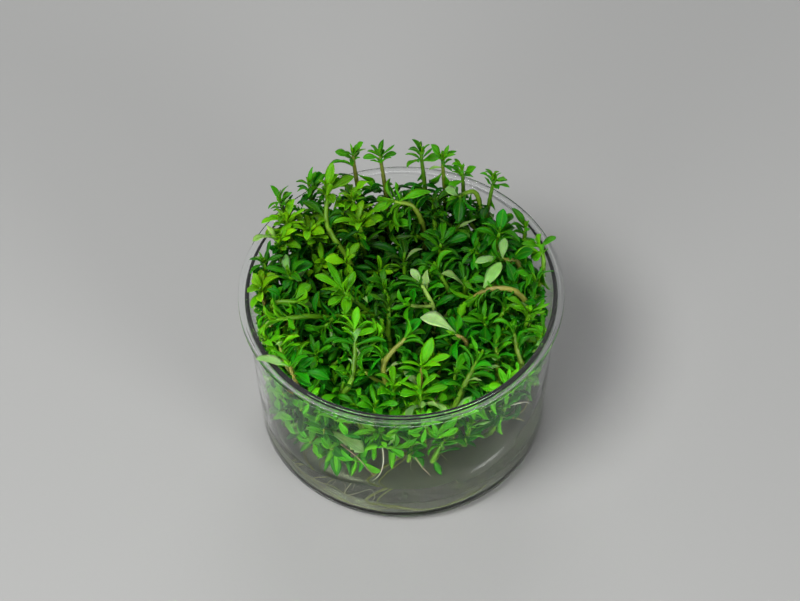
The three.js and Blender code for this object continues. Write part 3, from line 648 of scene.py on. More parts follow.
def blade_points(leaf):
    """Places over a leaf's blade, middle and edges."""
    found = []
    for s, spread in ((0.35, 0.5), (0.5, 0.8), (0.65, 1.0), (0.8, 0.8), (0.95, 0.3)):
        middle = leaf_point(leaf, s)
        found += [middle + leaf["side"] * leaf["width"] / 2 * spread * side for side in (-1, 0, 1)]
    return np.array(found)


def keep_if_free(plant, leaf, at, gap):
    """Keep a leaf if its blade has room. Says whether it was kept."""
    near = room.near(leaf["base"], NEAR_BLADE)
    radius, outer = np.full(len(at), BLADE_RADIUS), np.ones(len(at), bool)
    if not has_room(at, radius, outer, plant["index"], near, gap, gap + 0.05):
        return False
    room.add(at, BLADE_ROOM, plant["index"], True)
    plant["leaves"].append(leaf)
    return True


def stem_places(least):
    """Points along every stem and side shoot, and the plantlet that each is on."""
    at, owners = [], []
    for plant in plants:
        for curve in (plant["curve"], *plant["shoots"]):
            for length in np.arange(least, curve.length - 0.5, 1.1):
                at.append(curve.point(curve.share_at(length)))
                owners.append(plant["index"])
    return np.array(at), owners


def on_wall(z, angle, gap):
    r = inner_wall(z) - gap
    return np.array((r * math.cos(angle), r * math.sin(angle), z))


def grow_wall_shoots():
    """Side shoots that stand against the wall."""
    rnd = random.Random(78)
    stems, owners = stem_places(3)
    for z in (22, 29, 36, 43):
        for k in range(22):
            angle = 2 * math.pi * (k + rnd.uniform(-0.35, 0.35)) / 22
            tip = on_wall(z + rnd.uniform(-2.5, 2.5), angle, 1.5)
            if tip[2] < lowest(tip[0], tip[1]) + 4:
                continue
            away = np.linalg.norm(stems - tip, axis=1)
            fit = np.nonzero((away > 6) & (away < 17) & (tip[2] - stems[:, 2] > 2))[0]
            for pick in fit[np.argsort(away[fit])][:12:3]:
                plant = plants[owners[pick]]
                base = stems[pick]
                middle = base * 0.4 + tip * 0.6 - UP * 1.2
                branch = Curve([base, middle, tip])
                at = shoot_places(branch)
                radius = np.full(len(at), SHOOT_RADIUS)
                near = room.near(tip, NEAR_SHOOT)
                if has_room(at, radius, np.ones(len(at), bool), plant["index"], near, 0.05, 0.05):
                    room.add(at, radius, plant["index"], False)
                    plant["shoots"].append(branch)
                    phase = rnd.uniform(0, 2 * math.pi)
                    grow_whorl(plant, branch, 0.25, 4, (0.6, 1.2), (4.4, 7), "wall", 0.0, -0.6, phase)
                    phase += 0.8
                    grow_whorl(plant, branch, 2.8, 3, (0.9, 1.4), (5, 7.6), "wall", -0.1, -0.7, phase)
                    grow_buds(plant, branch, 3, 2.8)
                    break


def grow_wall_leaves(seed, heights, count, start, end, gap):
    """Leaves that lie against the wall, each from a stem near it."""
    rnd = random.Random(seed)
    stems, owners = stem_places(1.5)
    for z in heights:
        for k in range(count):
            angle = start + (end - start) * (k + rnd.random()) / count
            tip = on_wall(z + rnd.uniform(-1.1, 1.1), angle, 0.45)
            if not lowest(tip[0], tip[1]) < tip[2] < 49.6:
                continue
            away = np.linalg.norm(stems - tip, axis=1)
            fit = np.nonzero((away > 4.2) & (away < 11.5))[0]
            fit = fit[np.argsort(away[fit])][:28]
            inward = unit(np.array((-tip[0], -tip[1], 0.0)))
            for pick in rnd.sample(list(fit), min(len(fit), 6)):
                plant = plants[owners[pick]]
                base = stems[pick]
                along = unit(tip - base)
                if abs(along @ inward) > 0.8:
                    continue
                width = float(away[pick]) * rnd.uniform(0.27, 0.42)
                leaf = make_leaf(base, tip, inward + UP * rnd.uniform(-0.1, 0.3), width, "wall")
                at = blade_points(leaf)
                fits = all(math.hypot(x, y) < inner_wall(z) - WALL_GAP and z > lowest(x, y)
                           for x, y, z in at)
                if fits and keep_if_free(plant, leaf, at, gap):
                    break


for plant in plants:
    if plant["name"] in SHOWN_STEMS:
        for t in np.arange(*SHOWN_STEMS[plant["name"]], 0.025):
            keep_clear(plant["curve"].point(t), 0.75, 1.8, 15)
    for leaf in plant["leaves"]:
        if leaf["kind"] == "stand_out":
            for s in (0.35, 0.6, 0.85):
                keep_clear(leaf_point(leaf, s), 0.35 * leaf["width"], 1.6, 13)
        elif leaf["kind"] == "crown":
            keep_clear(leaf_point(leaf, 0.65), 0.5, 1.6, 8)
for plant in plants:
    grow_buds(plant, plant["curve"], 4, 3.4)
for plant in plants:
    lengths = (0.65 * plant["leaf_length"], 1.05 * plant["leaf_length"])
    grow_whorl(plant, plant["curve"], 2.4, 4, (0.6, 1.3), lengths, "crown", 0.05, -0.7)
    if plant["name"] in ROUND_LEAVED:
        grow_whorl(plant, plant["curve"], 1.2, 4, (0.35, 1.1), (4, 6.6), "crown", -0.15, -0.7)
grow_wall_shoots()
for below in (8, 14, 20, 27, 11, 17):
    for plant in plants:
        grow_shoot(plant, below + plant["random"].uniform(-1.5, 1.5))
for below in (4.4, 8.4, 12.2, 16, 20, 24, 28, 32, 36, 40):
    for plant in plants:
        if plant["curve"].length - below > 5:
            grow_whorl(plant, plant["curve"], below, 3, (0.75, 1.55), (5.4, 8.6), "whorl", -0.35, -0.9)
for plant in plants:
    for branch in plant["shoots"]:
        grow_whorl(plant, branch, 5.6, 2, (1.0, 1.5), (5.6, 8), "whorl", -0.35, -0.9)
for below in (3.4, 6.6, 10.3, 14.2, 18, 22, 26, 30):
    for plant in plants:
        if plant["curve"].length - below > 8:
            grow_whorl(plant, plant["curve"], below, 3, (0.4, 1.4), (2.8, 4.8), "whorl", -0.3, -0.9)


def grow_inner_leaves():
    """Leaves in the shade between the stems, each from a stem near it."""
    rnd = random.Random(80)
    stems, owners = stem_places(4)
    for z in np.arange(21, 44, 3.2):
        for x in np.arange(-27, 28, 3.6):
            for y in np.arange(-22, 34, 3.6):
                tip = np.array((x, y, z)) + [rnd.uniform(-1.5, 1.5) for _ in range(3)]
                least = max(gel_top(tip[0]) + 5, lowest(tip[0], tip[1]))
                if math.hypot(tip[0], tip[1]) > 34 or tip[2] < least:
                    continue
                away = np.linalg.norm(stems - tip, axis=1)
                fit = np.nonzero((away > 3.8) & (away < 9.5) & (stems[:, 2] < tip[2] + 1))[0]
                for pick in rnd.sample(list(fit), min(len(fit), 4)):
                    plant = plants[owners[pick]]
                    width = float(away[pick]) * rnd.uniform(0.3, 0.42)
                    leaf = make_leaf(stems[pick], tip, UP + np.array((0.01, 0.02, 0)), width, "inner")
                    if keep_if_free(plant, leaf, blade_points(leaf), 0.0):
                        break


for name, t, tip, width in HANGING_LEAVES:
    plant = next(plant for plant in plants if plant["name"] == name)
    up_hint = unit(np.array((-tip[0], -tip[1], 6.0)))
    leaf = make_leaf(plant["curve"].point(t), np.array(tip), up_hint, width, "hanging")
    room.add(*leaf_balls(leaf)[:2], plant["index"], True)
    plant["leaves"].append(leaf)
grow_wall_leaves(79, np.arange(12, 50, 2.3), 72, 0, 2 * math.pi, 0.0)
grow_wall_leaves(81, np.arange(20, 44, 1.9), 36, 0.35, math.pi - 0.35, -0.25)
grow_inner_leaves()

# Shapes of the meshes
STATIONS = np.array((0, 0.08, 0.18, 0.32, 0.46, 0.6, 0.72, 0.84, 0.93, 1.0))
BLADE = np.array((0.22, 0.20, 0.30, 0.58, 0.84, 0.98, 0.96, 0.74, 0.44, 0.04))
ROUND = np.array((0.20, 0.16, 0.24, 0.52, 0.86, 1.12, 1.20, 1.08, 0.76, 0.10))
SPOON = np.array((0.20, 0.17, 0.20, 0.40, 0.72, 0.96, 1.04, 0.86, 0.55, 0.05))
BUD_STATIONS = np.array((0, 0.25, 0.5, 0.75, 1.0))
BUD_BLADE = np.array((0.45, 0.7, 1.0, 0.85, 0.12))
SHADE_STATIONS = np.array((0, 0.2, 0.42, 0.62, 0.8, 0.93, 1.0))
ACROSS = np.array((-1, -0.55, 0, 0.55, 1, 0.55, 0, -0.55))
SKIN = np.array((0, 1, 1, 1, 0, -1, -1, -1))
LEAF_THICKNESS = 0.095
STEM_NODES = (2.4, 4.4, 6.5, 8.4, 12.2, 16, 20, 24, 28, 32)
SHOOT_NODES = (2.6, 5.6)
STEM_SIDES = 10
ROOT_SIDES = 6
LEAF_SLOT, STEM_SLOT, ROOT_SLOT = range(3)


def ring_faces(rings, sides):
    """Faces of a tube of rings, with a cap at each end."""
    faces = []
    for low in range(0, (rings - 1) * sides, sides):
        high = low + sides
        for j in range(sides):
            k = (j + 1) % sides
            faces.append((low + j, low + k, high + k, high + j))
    return faces + [tuple(reversed(range(sides))), tuple(range((rings - 1) * sides, rings * sides))]


def blended(first, second, share):
    return first * (1 - share) + second * share


def leaf_tone(plant, leaf, rnd):
    tone = plant["tone"]
    kind = leaf["kind"]
    if tone == "pale":
        tone = "fresh"
    elif plant["name"] in ROUND_LEAVED and kind in ("crown", "pair", "stand_out", "bud"):
        tone = "lime"
    colour = TONES[tone]
    if leaf.get("pale"):
        return colour + (TONES["pale"] - colour) * leaf["pale"]
    if plant["tall"] and kind != "whorl":
        colour = 0.6 * TONES["bright"] + 0.4 * TONES["fresh"]
    if kind == "bud":
        colour = 0.45 * colour + 0.55 * YOUNG
    elif kind == "crown":
        colour = 0.8 * colour + 0.2 * YOUNG * rnd.uniform(0.4, 1.2)
    elif kind == "pair":
        colour = 0.75 * colour + 0.25 * TONES["fresh"]
    elif kind == "wall":
        # Painted light: leaves against the wall are coloured towards bright, standing in for the light
        # that reaches them through the clear wall
        share = rnd.uniform(0, 0.6)
        colour = blended(TONES["bright"], TONES["fresh"], share)
    elif kind == "inner":
        # Painted shade: leaves between the stems are coloured from fresh to deep
        share = rnd.uniform(0.4, 1)
        colour = blended(TONES["fresh"], TONES["deep"], share)
    elif kind == "whorl":
        # Painted shade: whorl leaves are darker the further below their plantlet's tip they sit, deeper
        # in the foliage
        depth = min(max((plant["curve"].points[-1][2] - leaf["tip"][2]) / 18, 0), 1)
        share = 0.4 + 0.6 * depth
        colour = blended(TONES["fresh"], TONES["deep"], share)
        if rnd.random() < 0.12:
            colour = 0.5 * colour + 0.5 * TONES["bright"]
    if kind in ("crown", "pair", "whorl", "wall") and rnd.random() < 0.035:
        colour = 0.45 * colour + 0.55 * TONES["pale"]
    # Lightness: a random tone, with leaves against the wall painted a tenth brighter as painted light
    light = rnd.uniform(0.62, 1.25) * (1.1 if kind == "wall" else 1)
    # Painted light from the front: leaves are lighter towards the front of the cup and darker towards
    # the back
    light *= 1 - 0.011 * min(max(leaf["tip"][1], -22), 22)
    light *= 1.2 if tone == "lime" and kind == "crown" else 1
    warm = rnd.uniform(0.85, 1.2)
    return np.clip(colour * np.array((light * warm, light, light)), 0, 0.8)


def leaf_mesh(plant, leaf):
    rnd = plant["random"]
    small = leaf["kind"] == "bud"
    s = BUD_STATIONS if small else STATIONS
    mix = 1 if leaf["kind"] == "stand_out" and leaf["width"] > 4 else rnd.uniform(0, 1) ** 1.5
    broad = SPOON
    if plant["name"] in ROUND_LEAVED and leaf["kind"] in ("crown", "pair", "wall"):
        broad, mix = ROUND, rnd.uniform(0.6, 1)
    blade = BUD_BLADE if small else (1 - mix) * BLADE + mix * broad
    if leaf["kind"] == "inner" or not small and leaf["length"] < 4:
        blade, s = np.interp(SHADE_STATIONS, STATIONS, blade), SHADE_STATIONS
    hero = leaf["kind"] == "stand_out"
    loose = 2.0 if leaf["kind"] in ("whorl", "pair") else 1.3 if leaf["kind"] == "crown" else 0.6
    half = blade * leaf["width"] / 2 * (1.0 if hero else rnd.uniform(0.66, 1.06))
    length = leaf["length"]
    hook = rnd.uniform(-0.07, 0.09) * length * loose
    droop = 0 if hero else max(rnd.uniform(-0.10, 0.14), 0) * length
    arch = leaf["arch"] * rnd.uniform(0.5, 1.4)
    rise = 4 * arch * s * (1 - s) + hook * (s - s ** 3) - droop * s ** 4
    slope = (4 * arch * (1 - 2 * s) + hook * (1 - 3 * s ** 2) - 4 * droop * s ** 3) / length
    sway = rnd.uniform(-0.05, 0.05) * loose * length * s * (1 - s) * 4
    middle = (leaf["base"] + np.outer(s, leaf["tip"] - leaf["base"]) + np.outer(rise, leaf["up"])
              + np.outer(sway, leaf["side"]))
    normal = leaf["up"][None] - np.outer(slope, leaf["direction"])
    normal /= np.linalg.norm(normal, axis=1)[:, None]
    twist = rnd.uniform(-0.55, 0.55) * loose * (s - 0.2)
    side = np.cos(twist)[:, None] * leaf["side"] + np.sin(twist)[:, None] * normal
    normal = np.cos(twist)[:, None] * normal - np.sin(twist)[:, None] * leaf["side"]
    fold = rnd.uniform(0.12, 0.5 if hero else 1.05) * (1 if hero or rnd.random() < 0.8 else -0.6)
    if not hero and rnd.random() < 0.3:
        half = half * 0.78
        fold *= 1.4
    curl = rnd.uniform(-0.3, 0.4) * (1 if hero else 1.5)
    wave = rnd.uniform(0, 0.16) * (1 if hero else 1.6)
    wave_phase = rnd.uniform(0, 6.28)
    a = np.abs(ACROSS)
    lift = (fold * a + curl * (a ** 2 - a))[None] * half[:, None]
    waves = np.sin(s * 9 + wave_phase)[:, None] * (a ** 2 * np.sign(ACROSS) * wave)[None]
    ripple = waves * half[:, None] * 2
    body = LEAF_THICKNESS * (1.15 - 0.65 * a) * (0.7 if small else 1)
    rib = np.where(SKIN < 0, 1.0, 0.0) * np.exp(-(ACROSS / 0.3) ** 2)
    groove = np.where(SKIN > 0, 1.0, 0.0) * np.exp(-(ACROSS / 0.3) ** 2)
    skin = SKIN[None] * body[None] - rib[None] * 0.16 * (1 - s)[:, None] - groove[None] * 0.09
    points = (middle[:, None] + side[:, None] * (ACROSS[None] * half[:, None])[:, :, None]
              + normal[:, None] * (lift + ripple + skin)[:, :, None])
    tone = leaf_tone(plant, leaf, rnd)
    under = 0.93 * tone + 0.07 * np.array((0.22, 0.40, 0.03))
    edge_share = np.clip(1 - s / 0.3, 0, 1) ** 1.5 * 0.55
    colours = np.where((SKIN < 0)[None, :, None], under[None, None], tone[None, None])
    colours = colours * np.ones((len(s), len(ACROSS), 1))
    colours = colours + (PETIOLE[None, None] - colours) * edge_share[:, None, None]
    rib_share = np.exp(-(ACROSS / 0.25) ** 2)[None] * 0.3 * (1 - 0.6 * s)[:, None]
    colours = colours + (colours * 0.35 + RIB_LIGHT) * rib_share[:, :, None]
    uv = np.stack(np.broadcast_arrays(0.5 + 0.5 * ACROSS[None], s[:, None]), axis=2)
    verts, faces = points.reshape(-1, 3), ring_faces(len(s), len(ACROSS))
    return verts, faces, colours.reshape(-1, 3), uv.reshape(-1, 2), LEAF_SLOT


def tube_mesh(points, radii, colours, sides, material):
    ahead = np.gradient(points, axis=0)
    ahead /= np.linalg.norm(ahead, axis=1)[:, None]
    first = square_to(ahead[0])
    angles = np.arange(sides) * 2 * math.pi / sides
    rings = []
    for k, axis in enumerate(ahead):
        first = unit(first - axis * (first @ axis))
        second = np.cross(axis, first)
        outward = np.outer(np.cos(angles), first) + np.outer(np.sin(angles), second)
        rings.append(points[k] + radii[k] * outward)
    verts = np.concatenate(rings)
    colour = np.repeat(colours, sides, axis=0)
    lengths = np.concatenate(([0], np.cumsum(np.linalg.norm(np.diff(points, axis=0), axis=1))))
    across = 1 - np.abs(1 - np.arange(sides) * 2 / sides)
    uv = np.stack(np.broadcast_arrays(across[None], lengths[:, None] / 10), axis=2).reshape(-1, 2)
    return verts, ring_faces(len(points), sides), colour, uv, material


def stem_mesh(plant, curve, thick, thin, nodes_below_tip):
    tan_foot, tan_tip, pink_tip = STEM_TINTS.get(plant["name"], (0.15, 0.05, 0.0))
    rnd = plant["random"]
    lengths, points = curve.spaced(0.8, 6)
    below = curve.length - lengths
    radii = thin + (thick - thin) * np.clip(below / 12, 0, 1) ** 0.7
    knots = np.zeros_like(below)
    for d in nodes_below_tip:
        knots = np.maximum(knots, np.exp(-((below - d) / 0.65) ** 2))
    radii = radii * (1 + 0.2 * knots)
    radii[-1] *= 0.5
    share = lengths / curve.length
    tan = np.clip(tan_foot + (tan_tip - tan_foot) * share + rnd.uniform(-0.08, 0.08), 0, 1)[:, None]
    pink = (pink_tip * share ** 2)[:, None]
    pale = plant["name"] == PALE_STEM
    colours = blended(STEM_PALE if pale else STEM_GREEN, STEM_TAN, tan)
    colours = colours * (1 - 0.6 * pink) + STEM_PINK * 0.6 * pink
    young = np.clip(1 - below / 5, 0, 1)[:, None] * 0.6 * (1 - tan)
    colours = blended(colours, STEM_PALE if pale else YOUNG, young)
    # Darker at the nodes; the tall plantlets' stems are painted half as bright, as painted shade
    colours = colours * (1 - 0.25 * knots[:, None]) * (0.5 if plant["tall"] else 1)
    return tube_mesh(points, radii, colours, STEM_SIDES, STEM_SLOT)


def root_mesh(points, thick, thin, colour):
    line = Curve(points).spaced(0.9, 4)[1]
    radii = np.linspace(thick, thin, len(line))
    return tube_mesh(line, radii, np.repeat([colour], len(line), axis=0), ROOT_SIDES, ROOT_SLOT)


ROOT_REACH = 36.6
ROOT_LOWEST = 4.2
ROOT_WHITE = np.array((0.62, 0.62, 0.48))
ROOT_PINK = np.array((0.50, 0.36, 0.25))
ROOT_GREEN = np.array((0.30, 0.34, 0.08))
ROOT_OLIVE = np.array((0.20, 0.27, 0.012))

# Roots that hang in the open or run where the gel meets the wall: plantlet, points, radius, colour
LOOSE_ROOTS = [
    ("front_3", [(-6.5, -32.4, 33), (-5.4, -36.2, 31), (-5.4, -37.0, 26), (-6.5, -36.9, 20.5),
                 (-8.3, -36.6, 17.2)], 0.21, ROOT_WHITE),
    ("front_4", [(-16.5, -30.5, 26), (-11.6, -35.8, 26.6), (-9.5, -36.6, 23), (-8.0, -36.6, 20)],
     0.18, ROOT_PINK),
    ("front_5", [(2.2, -34.6, 27), (4.4, -36.6, 24), (6.6, -36.6, 19.5)], 0.18, ROOT_PINK),
    ("front_8", [(25.2, -25.4, 30), (29.6, -22.8, 25), (31.6, -20.6, 20.5)], 0.34, ROOT_GREEN),
    ("front_8", [(26.0, -24.6, 33), (31.4, -20.4, 29), (33.0, -17.4, 24)], 0.3, ROOT_WHITE),
    ("front_8", [(25.0, -25.2, 29), (30.8, -21.6, 26.5), (33.4, -16.0, 26)], 0.26, ROOT_GREEN),
    ("right_9", [(30.0, -17.4, 36), (33.6, -16.0, 32), (34.6, -14.6, 27.5)], 0.3, ROOT_GREEN),
]

# Roots that run round the gel's lower edge: plantlet, (angle from +X, height) of each point,
# radius, colour
LOW_ROOTS = [
    ("front_1", [(-93, 6.2), (-84, 4.3), (-76, 3.9), (-66, 4.3), (-55, 5.6)], 0.46, ROOT_OLIVE),
    ("front_5", [(-88, 4.6), (-80, 3.6), (-70, 4.6), (-60, 6.2)], 0.22, ROOT_OLIVE),
    ("front_3", [(-130, 6.6), (-120, 4.8), (-110, 4.0), (-101, 4.2), (-95, 5.6)], 0.2, ROOT_GREEN),
    ("front_2", [(-119, 9.0), (-111, 6.6), (-104, 5.6), (-99, 7.2)], 0.15, ROOT_GREEN),
    ("front_3", [(-103, 13.5), (-102, 10), (-104, 6.5)], 0.12, ROOT_WHITE),
]


def low_strands(count):
    """Thin strands that lie round the gel's lower edge at the front, from the front plantlets."""
    rnd = random.Random(82)
    made = []
    for _ in range(count):
        start = rnd.uniform(-140, -62)
        reach = rnd.uniform(16, 44)
        height = rnd.uniform(2.8, 4.2)
        places = [(start + reach * share, height + rnd.uniform(-0.7, 0.7) + 2.2 * (share - 0.5) ** 2)
                  for share in (0, 0.25, 0.5, 0.75, 1)]
        number = 3 if start < -110 else rnd.choice((2, 3) if start < -90 else (1, 5))
        olive = rnd.random() < 0.7
        colour = ROOT_OLIVE * rnd.uniform(0.5, 1.1) if olive else ROOT_GREEN * rnd.uniform(0.5, 0.9)
        made.append(("front_%d" % number, places, rnd.uniform(0.1, 0.22), colour))
    return made


LOW_ROOTS += low_strands(3)


def low_root(plant, places, thick, colour):
    foot = plant["curve"].points[0]
    line = [foot, on_wall(3.4, math.radians(places[0][0] - 14), 6)]
    line += [on_wall(z, math.radians(angle), 0.9) for angle, z in places]
    return root_mesh(line, thick, thick * 0.5, colour)


def gel_roots(plant):
    """Thin roots from a stem's foot down into the gel."""
    rnd = plant["random"]
    foot = plant["curve"].points[0]
    made = []
    for k in range(rnd.choice((0, 1) if foot[0] > 14 else (1, 2, 2, 3))):
        angle = rnd.uniform(0, 2 * math.pi)
        reach = rnd.uniform(2, 6)
        points = [foot + (0, 0, 0.8)]
        for step in (0.35, 0.7, 1.0):
            bend = angle + rnd.uniform(-0.5, 0.5)
            x = foot[0] + reach * step * math.cos(bend)
            y = foot[1] + reach * step * math.sin(bend)
            back_in = min(ROOT_REACH / math.hypot(x, y), 1)
            x, y = x * back_in, y * back_in
            z = foot[2] + (ROOT_LOWEST - foot[2]) * step * rnd.uniform(0.5, 0.9)
            points.append((x, y, min(max(z, ROOT_LOWEST), gel_top(x) - 0.8)))
        light = foot[0] < 5
        colour = ROOT_WHITE * rnd.uniform(0.35, 0.65) if light else ROOT_GREEN * rnd.uniform(0.5, 0.9)
        made.append(root_mesh(points, rnd.uniform(0.08, 0.15), 0.05, colour))
    return made


# Materials
def new_material(name):
    material = bpy.data.materials.new(name)
    material.use_nodes = True
    tree = material.node_tree
    return material, tree, tree.nodes["Principled BSDF"]


def set_inputs(node, **values):
    """Set a node's inputs by name, with _ for a space."""
    for name, value in values.items():
        node.inputs[name.replace("_", " ")].default_value = value


def link_inputs(tree, node, **values):
    """Link outputs to a node's inputs by name, with _ for a space."""
    for name, value in values.items():
        tree.links.new(value, node.inputs[name.replace("_", " ")])


def add_node(tree, kind, **values):
    node = tree.nodes.new(kind)
    set_inputs(node, **values)
    return node


def fill(tree, sockets, values):
    """Give each socket its value, or link it where the value is an output."""
    for socket, value in zip(sockets, values):
        if hasattr(value, "links"):
            tree.links.new(value, socket)
        elif value is not None:
            socket.default_value = value


def maths(tree, operation, first, second=None, clamp=False):
    node = tree.nodes.new("ShaderNodeMath")
    node.operation = operation
    node.use_clamp = clamp
    fill(tree, node.inputs, (first, second))
    return node.outputs[0]


def scaled(tree, value, factor, start=0.0, clamp=False):
    """The value times a factor, plus a start."""
    product = maths(tree, "MULTIPLY", value, factor, clamp=clamp)
    return maths(tree, "ADD", product, start) if start else product


def mixed(tree, share, first, second, blend="MIX"):
    node = tree.nodes.new("ShaderNodeMix")
    node.data_type = "RGBA"
    node.blend_type = blend
    fill(tree, (node.inputs[0], node.inputs[6], node.inputs[7]), (share, first, second))
    return node.outputs[2]


def object_place(tree):
    return add_node(tree, "ShaderNodeTexCoord").outputs["Object"]


def noise(tree, place, scale, detail=2.0, roughness=0.5):
    node = add_node(tree, "ShaderNodeTexNoise", Scale=scale, Detail=detail, Roughness=roughness)
    tree.links.new(place, node.inputs["Vector"])
    return node.outputs["Fac"]


def vertex_tone(tree):
    node = add_node(tree, "ShaderNodeVertexColor")
    node.layer_name = "tone"
    return node.outputs["Color"]


def blade_place(tree):
    node = add_node(tree, "ShaderNodeUVMap")
    node.uv_map = "blade"
    return node.outputs[0]


def shaded(tree, colour, shade):
    """A colour times a shade of grey."""
    grey = add_node(tree, "ShaderNodeCombineColor")
    fill(tree, grey.inputs[:3], (shade, shade, shade))
    return mixed(tree, 1.0, colour, grey.outputs[0], "MULTIPLY")


def add_bump(tree, shader, height, strength, distance):
    bump = add_node(tree, "ShaderNodeBump", Strength=strength, Distance=distance)
    link_inputs(tree, bump, Height=height)
    link_inputs(tree, shader, Normal=bump.outputs[0])


def leaf_material():
    material, tree, shader = new_material("leaf")
    split = add_node(tree, "ShaderNodeSeparateXYZ")
    tree.links.new(blade_place(tree), split.inputs[0])
    across, along = split.outputs[0], split.outputs[1]
    from_rib = maths(tree, "ABSOLUTE", maths(tree, "SUBTRACT", across, 0.5))
    rib = maths(tree, "SUBTRACT", 1.0, scaled(tree, from_rib, 16.0), clamp=True)
    slanted = maths(tree, "SUBTRACT", scaled(tree, along, 9.0), scaled(tree, from_rib, 5.0))
    stripes = maths(tree, "SINE", scaled(tree, slanted, 6.283))
    veins = scaled(tree, maths(tree, "SUBTRACT", stripes, 0.72, clamp=True), 2.2, clamp=True)
    place = object_place(tree)
    patches = noise(tree, place, 420.0, 2.0)
    fine = noise(tree, place, 2600.0, 3.0, 0.6)
    shade = scaled(tree, patches, 0.55, 0.72)
    shade = maths(tree, "ADD", shade, scaled(tree, maths(tree, "SUBTRACT", fine, 0.5), 0.22))
    colour = shaded(tree, vertex_tone(tree), shade)
    lighter = mixed(tree, 0.35, colour, (0.24, 0.52, 0.03, 1))
    colour = mixed(tree, scaled(tree, rib, 0.55), colour, lighter)
    colour = mixed(tree, scaled(tree, veins, 0.22), colour, lighter)
    link_inputs(tree, shader, Base_Color=colour, Roughness=scaled(tree, fine, 0.24, 0.30))
    sunk = maths(tree, "ADD", scaled(tree, rib, 0.8), scaled(tree, veins, 0.3))
    add_bump(tree, shader, maths(tree, "SUBTRACT", scaled(tree, fine, 0.5), sunk), 0.45, 0.00012)
    set_inputs(shader, Subsurface_Weight=0.45, Subsurface_Radius=(0.4, 1.0, 0.1),
               Subsurface_Scale=0.0008, IOR=1.42, Specular_IOR_Level=0.17)
    return material


def stem_material():
    material, tree, shader = new_material("stem")
    stretch = add_node(tree, "ShaderNodeMapping", Scale=(9.0, 1.6, 1.0))
    link_inputs(tree, stretch, Vector=blade_place(tree))
    streaks = noise(tree, stretch.outputs[0], 2.0, 3.0, 0.6)
    spots = noise(tree, object_place(tree), 900.0, 2.0)
    colour = shaded(tree, vertex_tone(tree), scaled(tree, streaks, 0.6, 0.66))
    blotch = scaled(tree, maths(tree, "SUBTRACT", spots, 0.55, clamp=True), 2.6, clamp=True)
    colour = mixed(tree, scaled(tree, blotch, 0.22), colour, (0.30, 0.16, 0.05, 1))
    link_inputs(tree, shader, Base_Color=colour, Roughness=scaled(tree, streaks, 0.2, 0.28))
    add_bump(tree, shader, streaks, 0.4, 0.00015)
    set_inputs(shader, Subsurface_Weight=0.25, Subsurface_Radius=(0.8, 1.0, 0.3),
               Subsurface_Scale=0.0008, Specular_IOR_Level=0.3)
    return material


def root_material():
    material, tree, shader = new_material("root")
    spots = noise(tree, object_place(tree), 1500.0, 3.0)
    colour = mixed(tree, scaled(tree, spots, 0.5), vertex_tone(tree), (0.34, 0.27, 0.12, 1))
    link_inputs(tree, shader, Base_Color=colour, Roughness=scaled(tree, spots, 0.3, 0.3))
    set_inputs(shader, Subsurface_Weight=0.3, Subsurface_Radius=(1.0, 0.9, 0.6),
               Subsurface_Scale=0.0006)
    return material


def plastic_material(name, clearness, ior):
    material, tree, shader = new_material(name)
    place = object_place(tree)
    slow = noise(tree, place, 60.0, 2.0)
    smudge = noise(tree, place, 240.0, 4.0, 0.6)
    tint = mixed(tree, smudge, (0.99, 0.998, 0.995, 1), (0.97, 0.985, 0.98, 1))
    rough = scaled(tree, maths(tree, "SUBTRACT", smudge, 0.45, clamp=True), 0.06, 0.004, clamp=True)
    link_inputs(tree, shader, Base_Color=tint, Roughness=rough)
    add_bump(tree, shader, slow, 0.25, 0.0006)
    set_inputs(shader, Transmission_Weight=clearness, IOR=ior)
    return material


def gel_material():
    material, tree, shader = new_material("gel")
    place = object_place(tree)
    cloud = noise(tree, place, 90.0, 4.0, 0.55)
    fine = noise(tree, place, 700.0, 3.0)
    tint = mixed(tree, cloud, (0.78, 0.83, 0.66, 1), (0.90, 0.93, 0.82, 1))
    link_inputs(tree, shader, Base_Color=tint, Roughness=scaled(tree, fine, 0.07, 0.02))
    add_bump(tree, shader, cloud, 0.35, 0.0005)
    set_inputs(shader, Transmission_Weight=0.93, IOR=1.34)
    absorb = add_node(tree, "ShaderNodeVolumeAbsorption", Color=(0.68, 0.77, 0.46, 1), Density=37.0)
    link_inputs(tree, tree.nodes["Material Output"], Volume=absorb.outputs[0])
    return material


def floor_material():
    material, tree, shader = new_material("floor")
    cloud = noise(tree, object_place(tree), 3.0, 2.0)
    tint = mixed(tree, cloud, (0.37, 0.37, 0.36, 1), (0.40, 0.40, 0.39, 1))
    link_inputs(tree, shader, Base_Color=tint)
    set_inputs(shader, Roughness=0.75)
    return material


LEAF, STEM, ROOT = leaf_material(), stem_material(), root_material()
PLASTIC = plastic_material("clear_plastic", 1.0, 1.12)
RIM = plastic_material("rim_plastic", 0.97, 1.22)
GEL = gel_material()


# Meshes
def new_piece(name, materials, verts, faces, smooth_angle=None):
    mesh = bpy.data.meshes.new(name)
    mesh.from_pydata((np.asarray(verts) * MM).tolist(), [], faces)
    mesh.polygons.foreach_set("use_smooth", np.ones(len(mesh.polygons), bool))
    for material in materials:
        mesh.materials.append(material)
    if smooth_angle is not None:
        mesh.set_sharp_from_angle(angle=math.radians(smooth_angle))
    mesh.validate()
    obj = bpy.data.objects.new(name, mesh)
    bpy.context.scene.collection.objects.link(obj)
    return obj


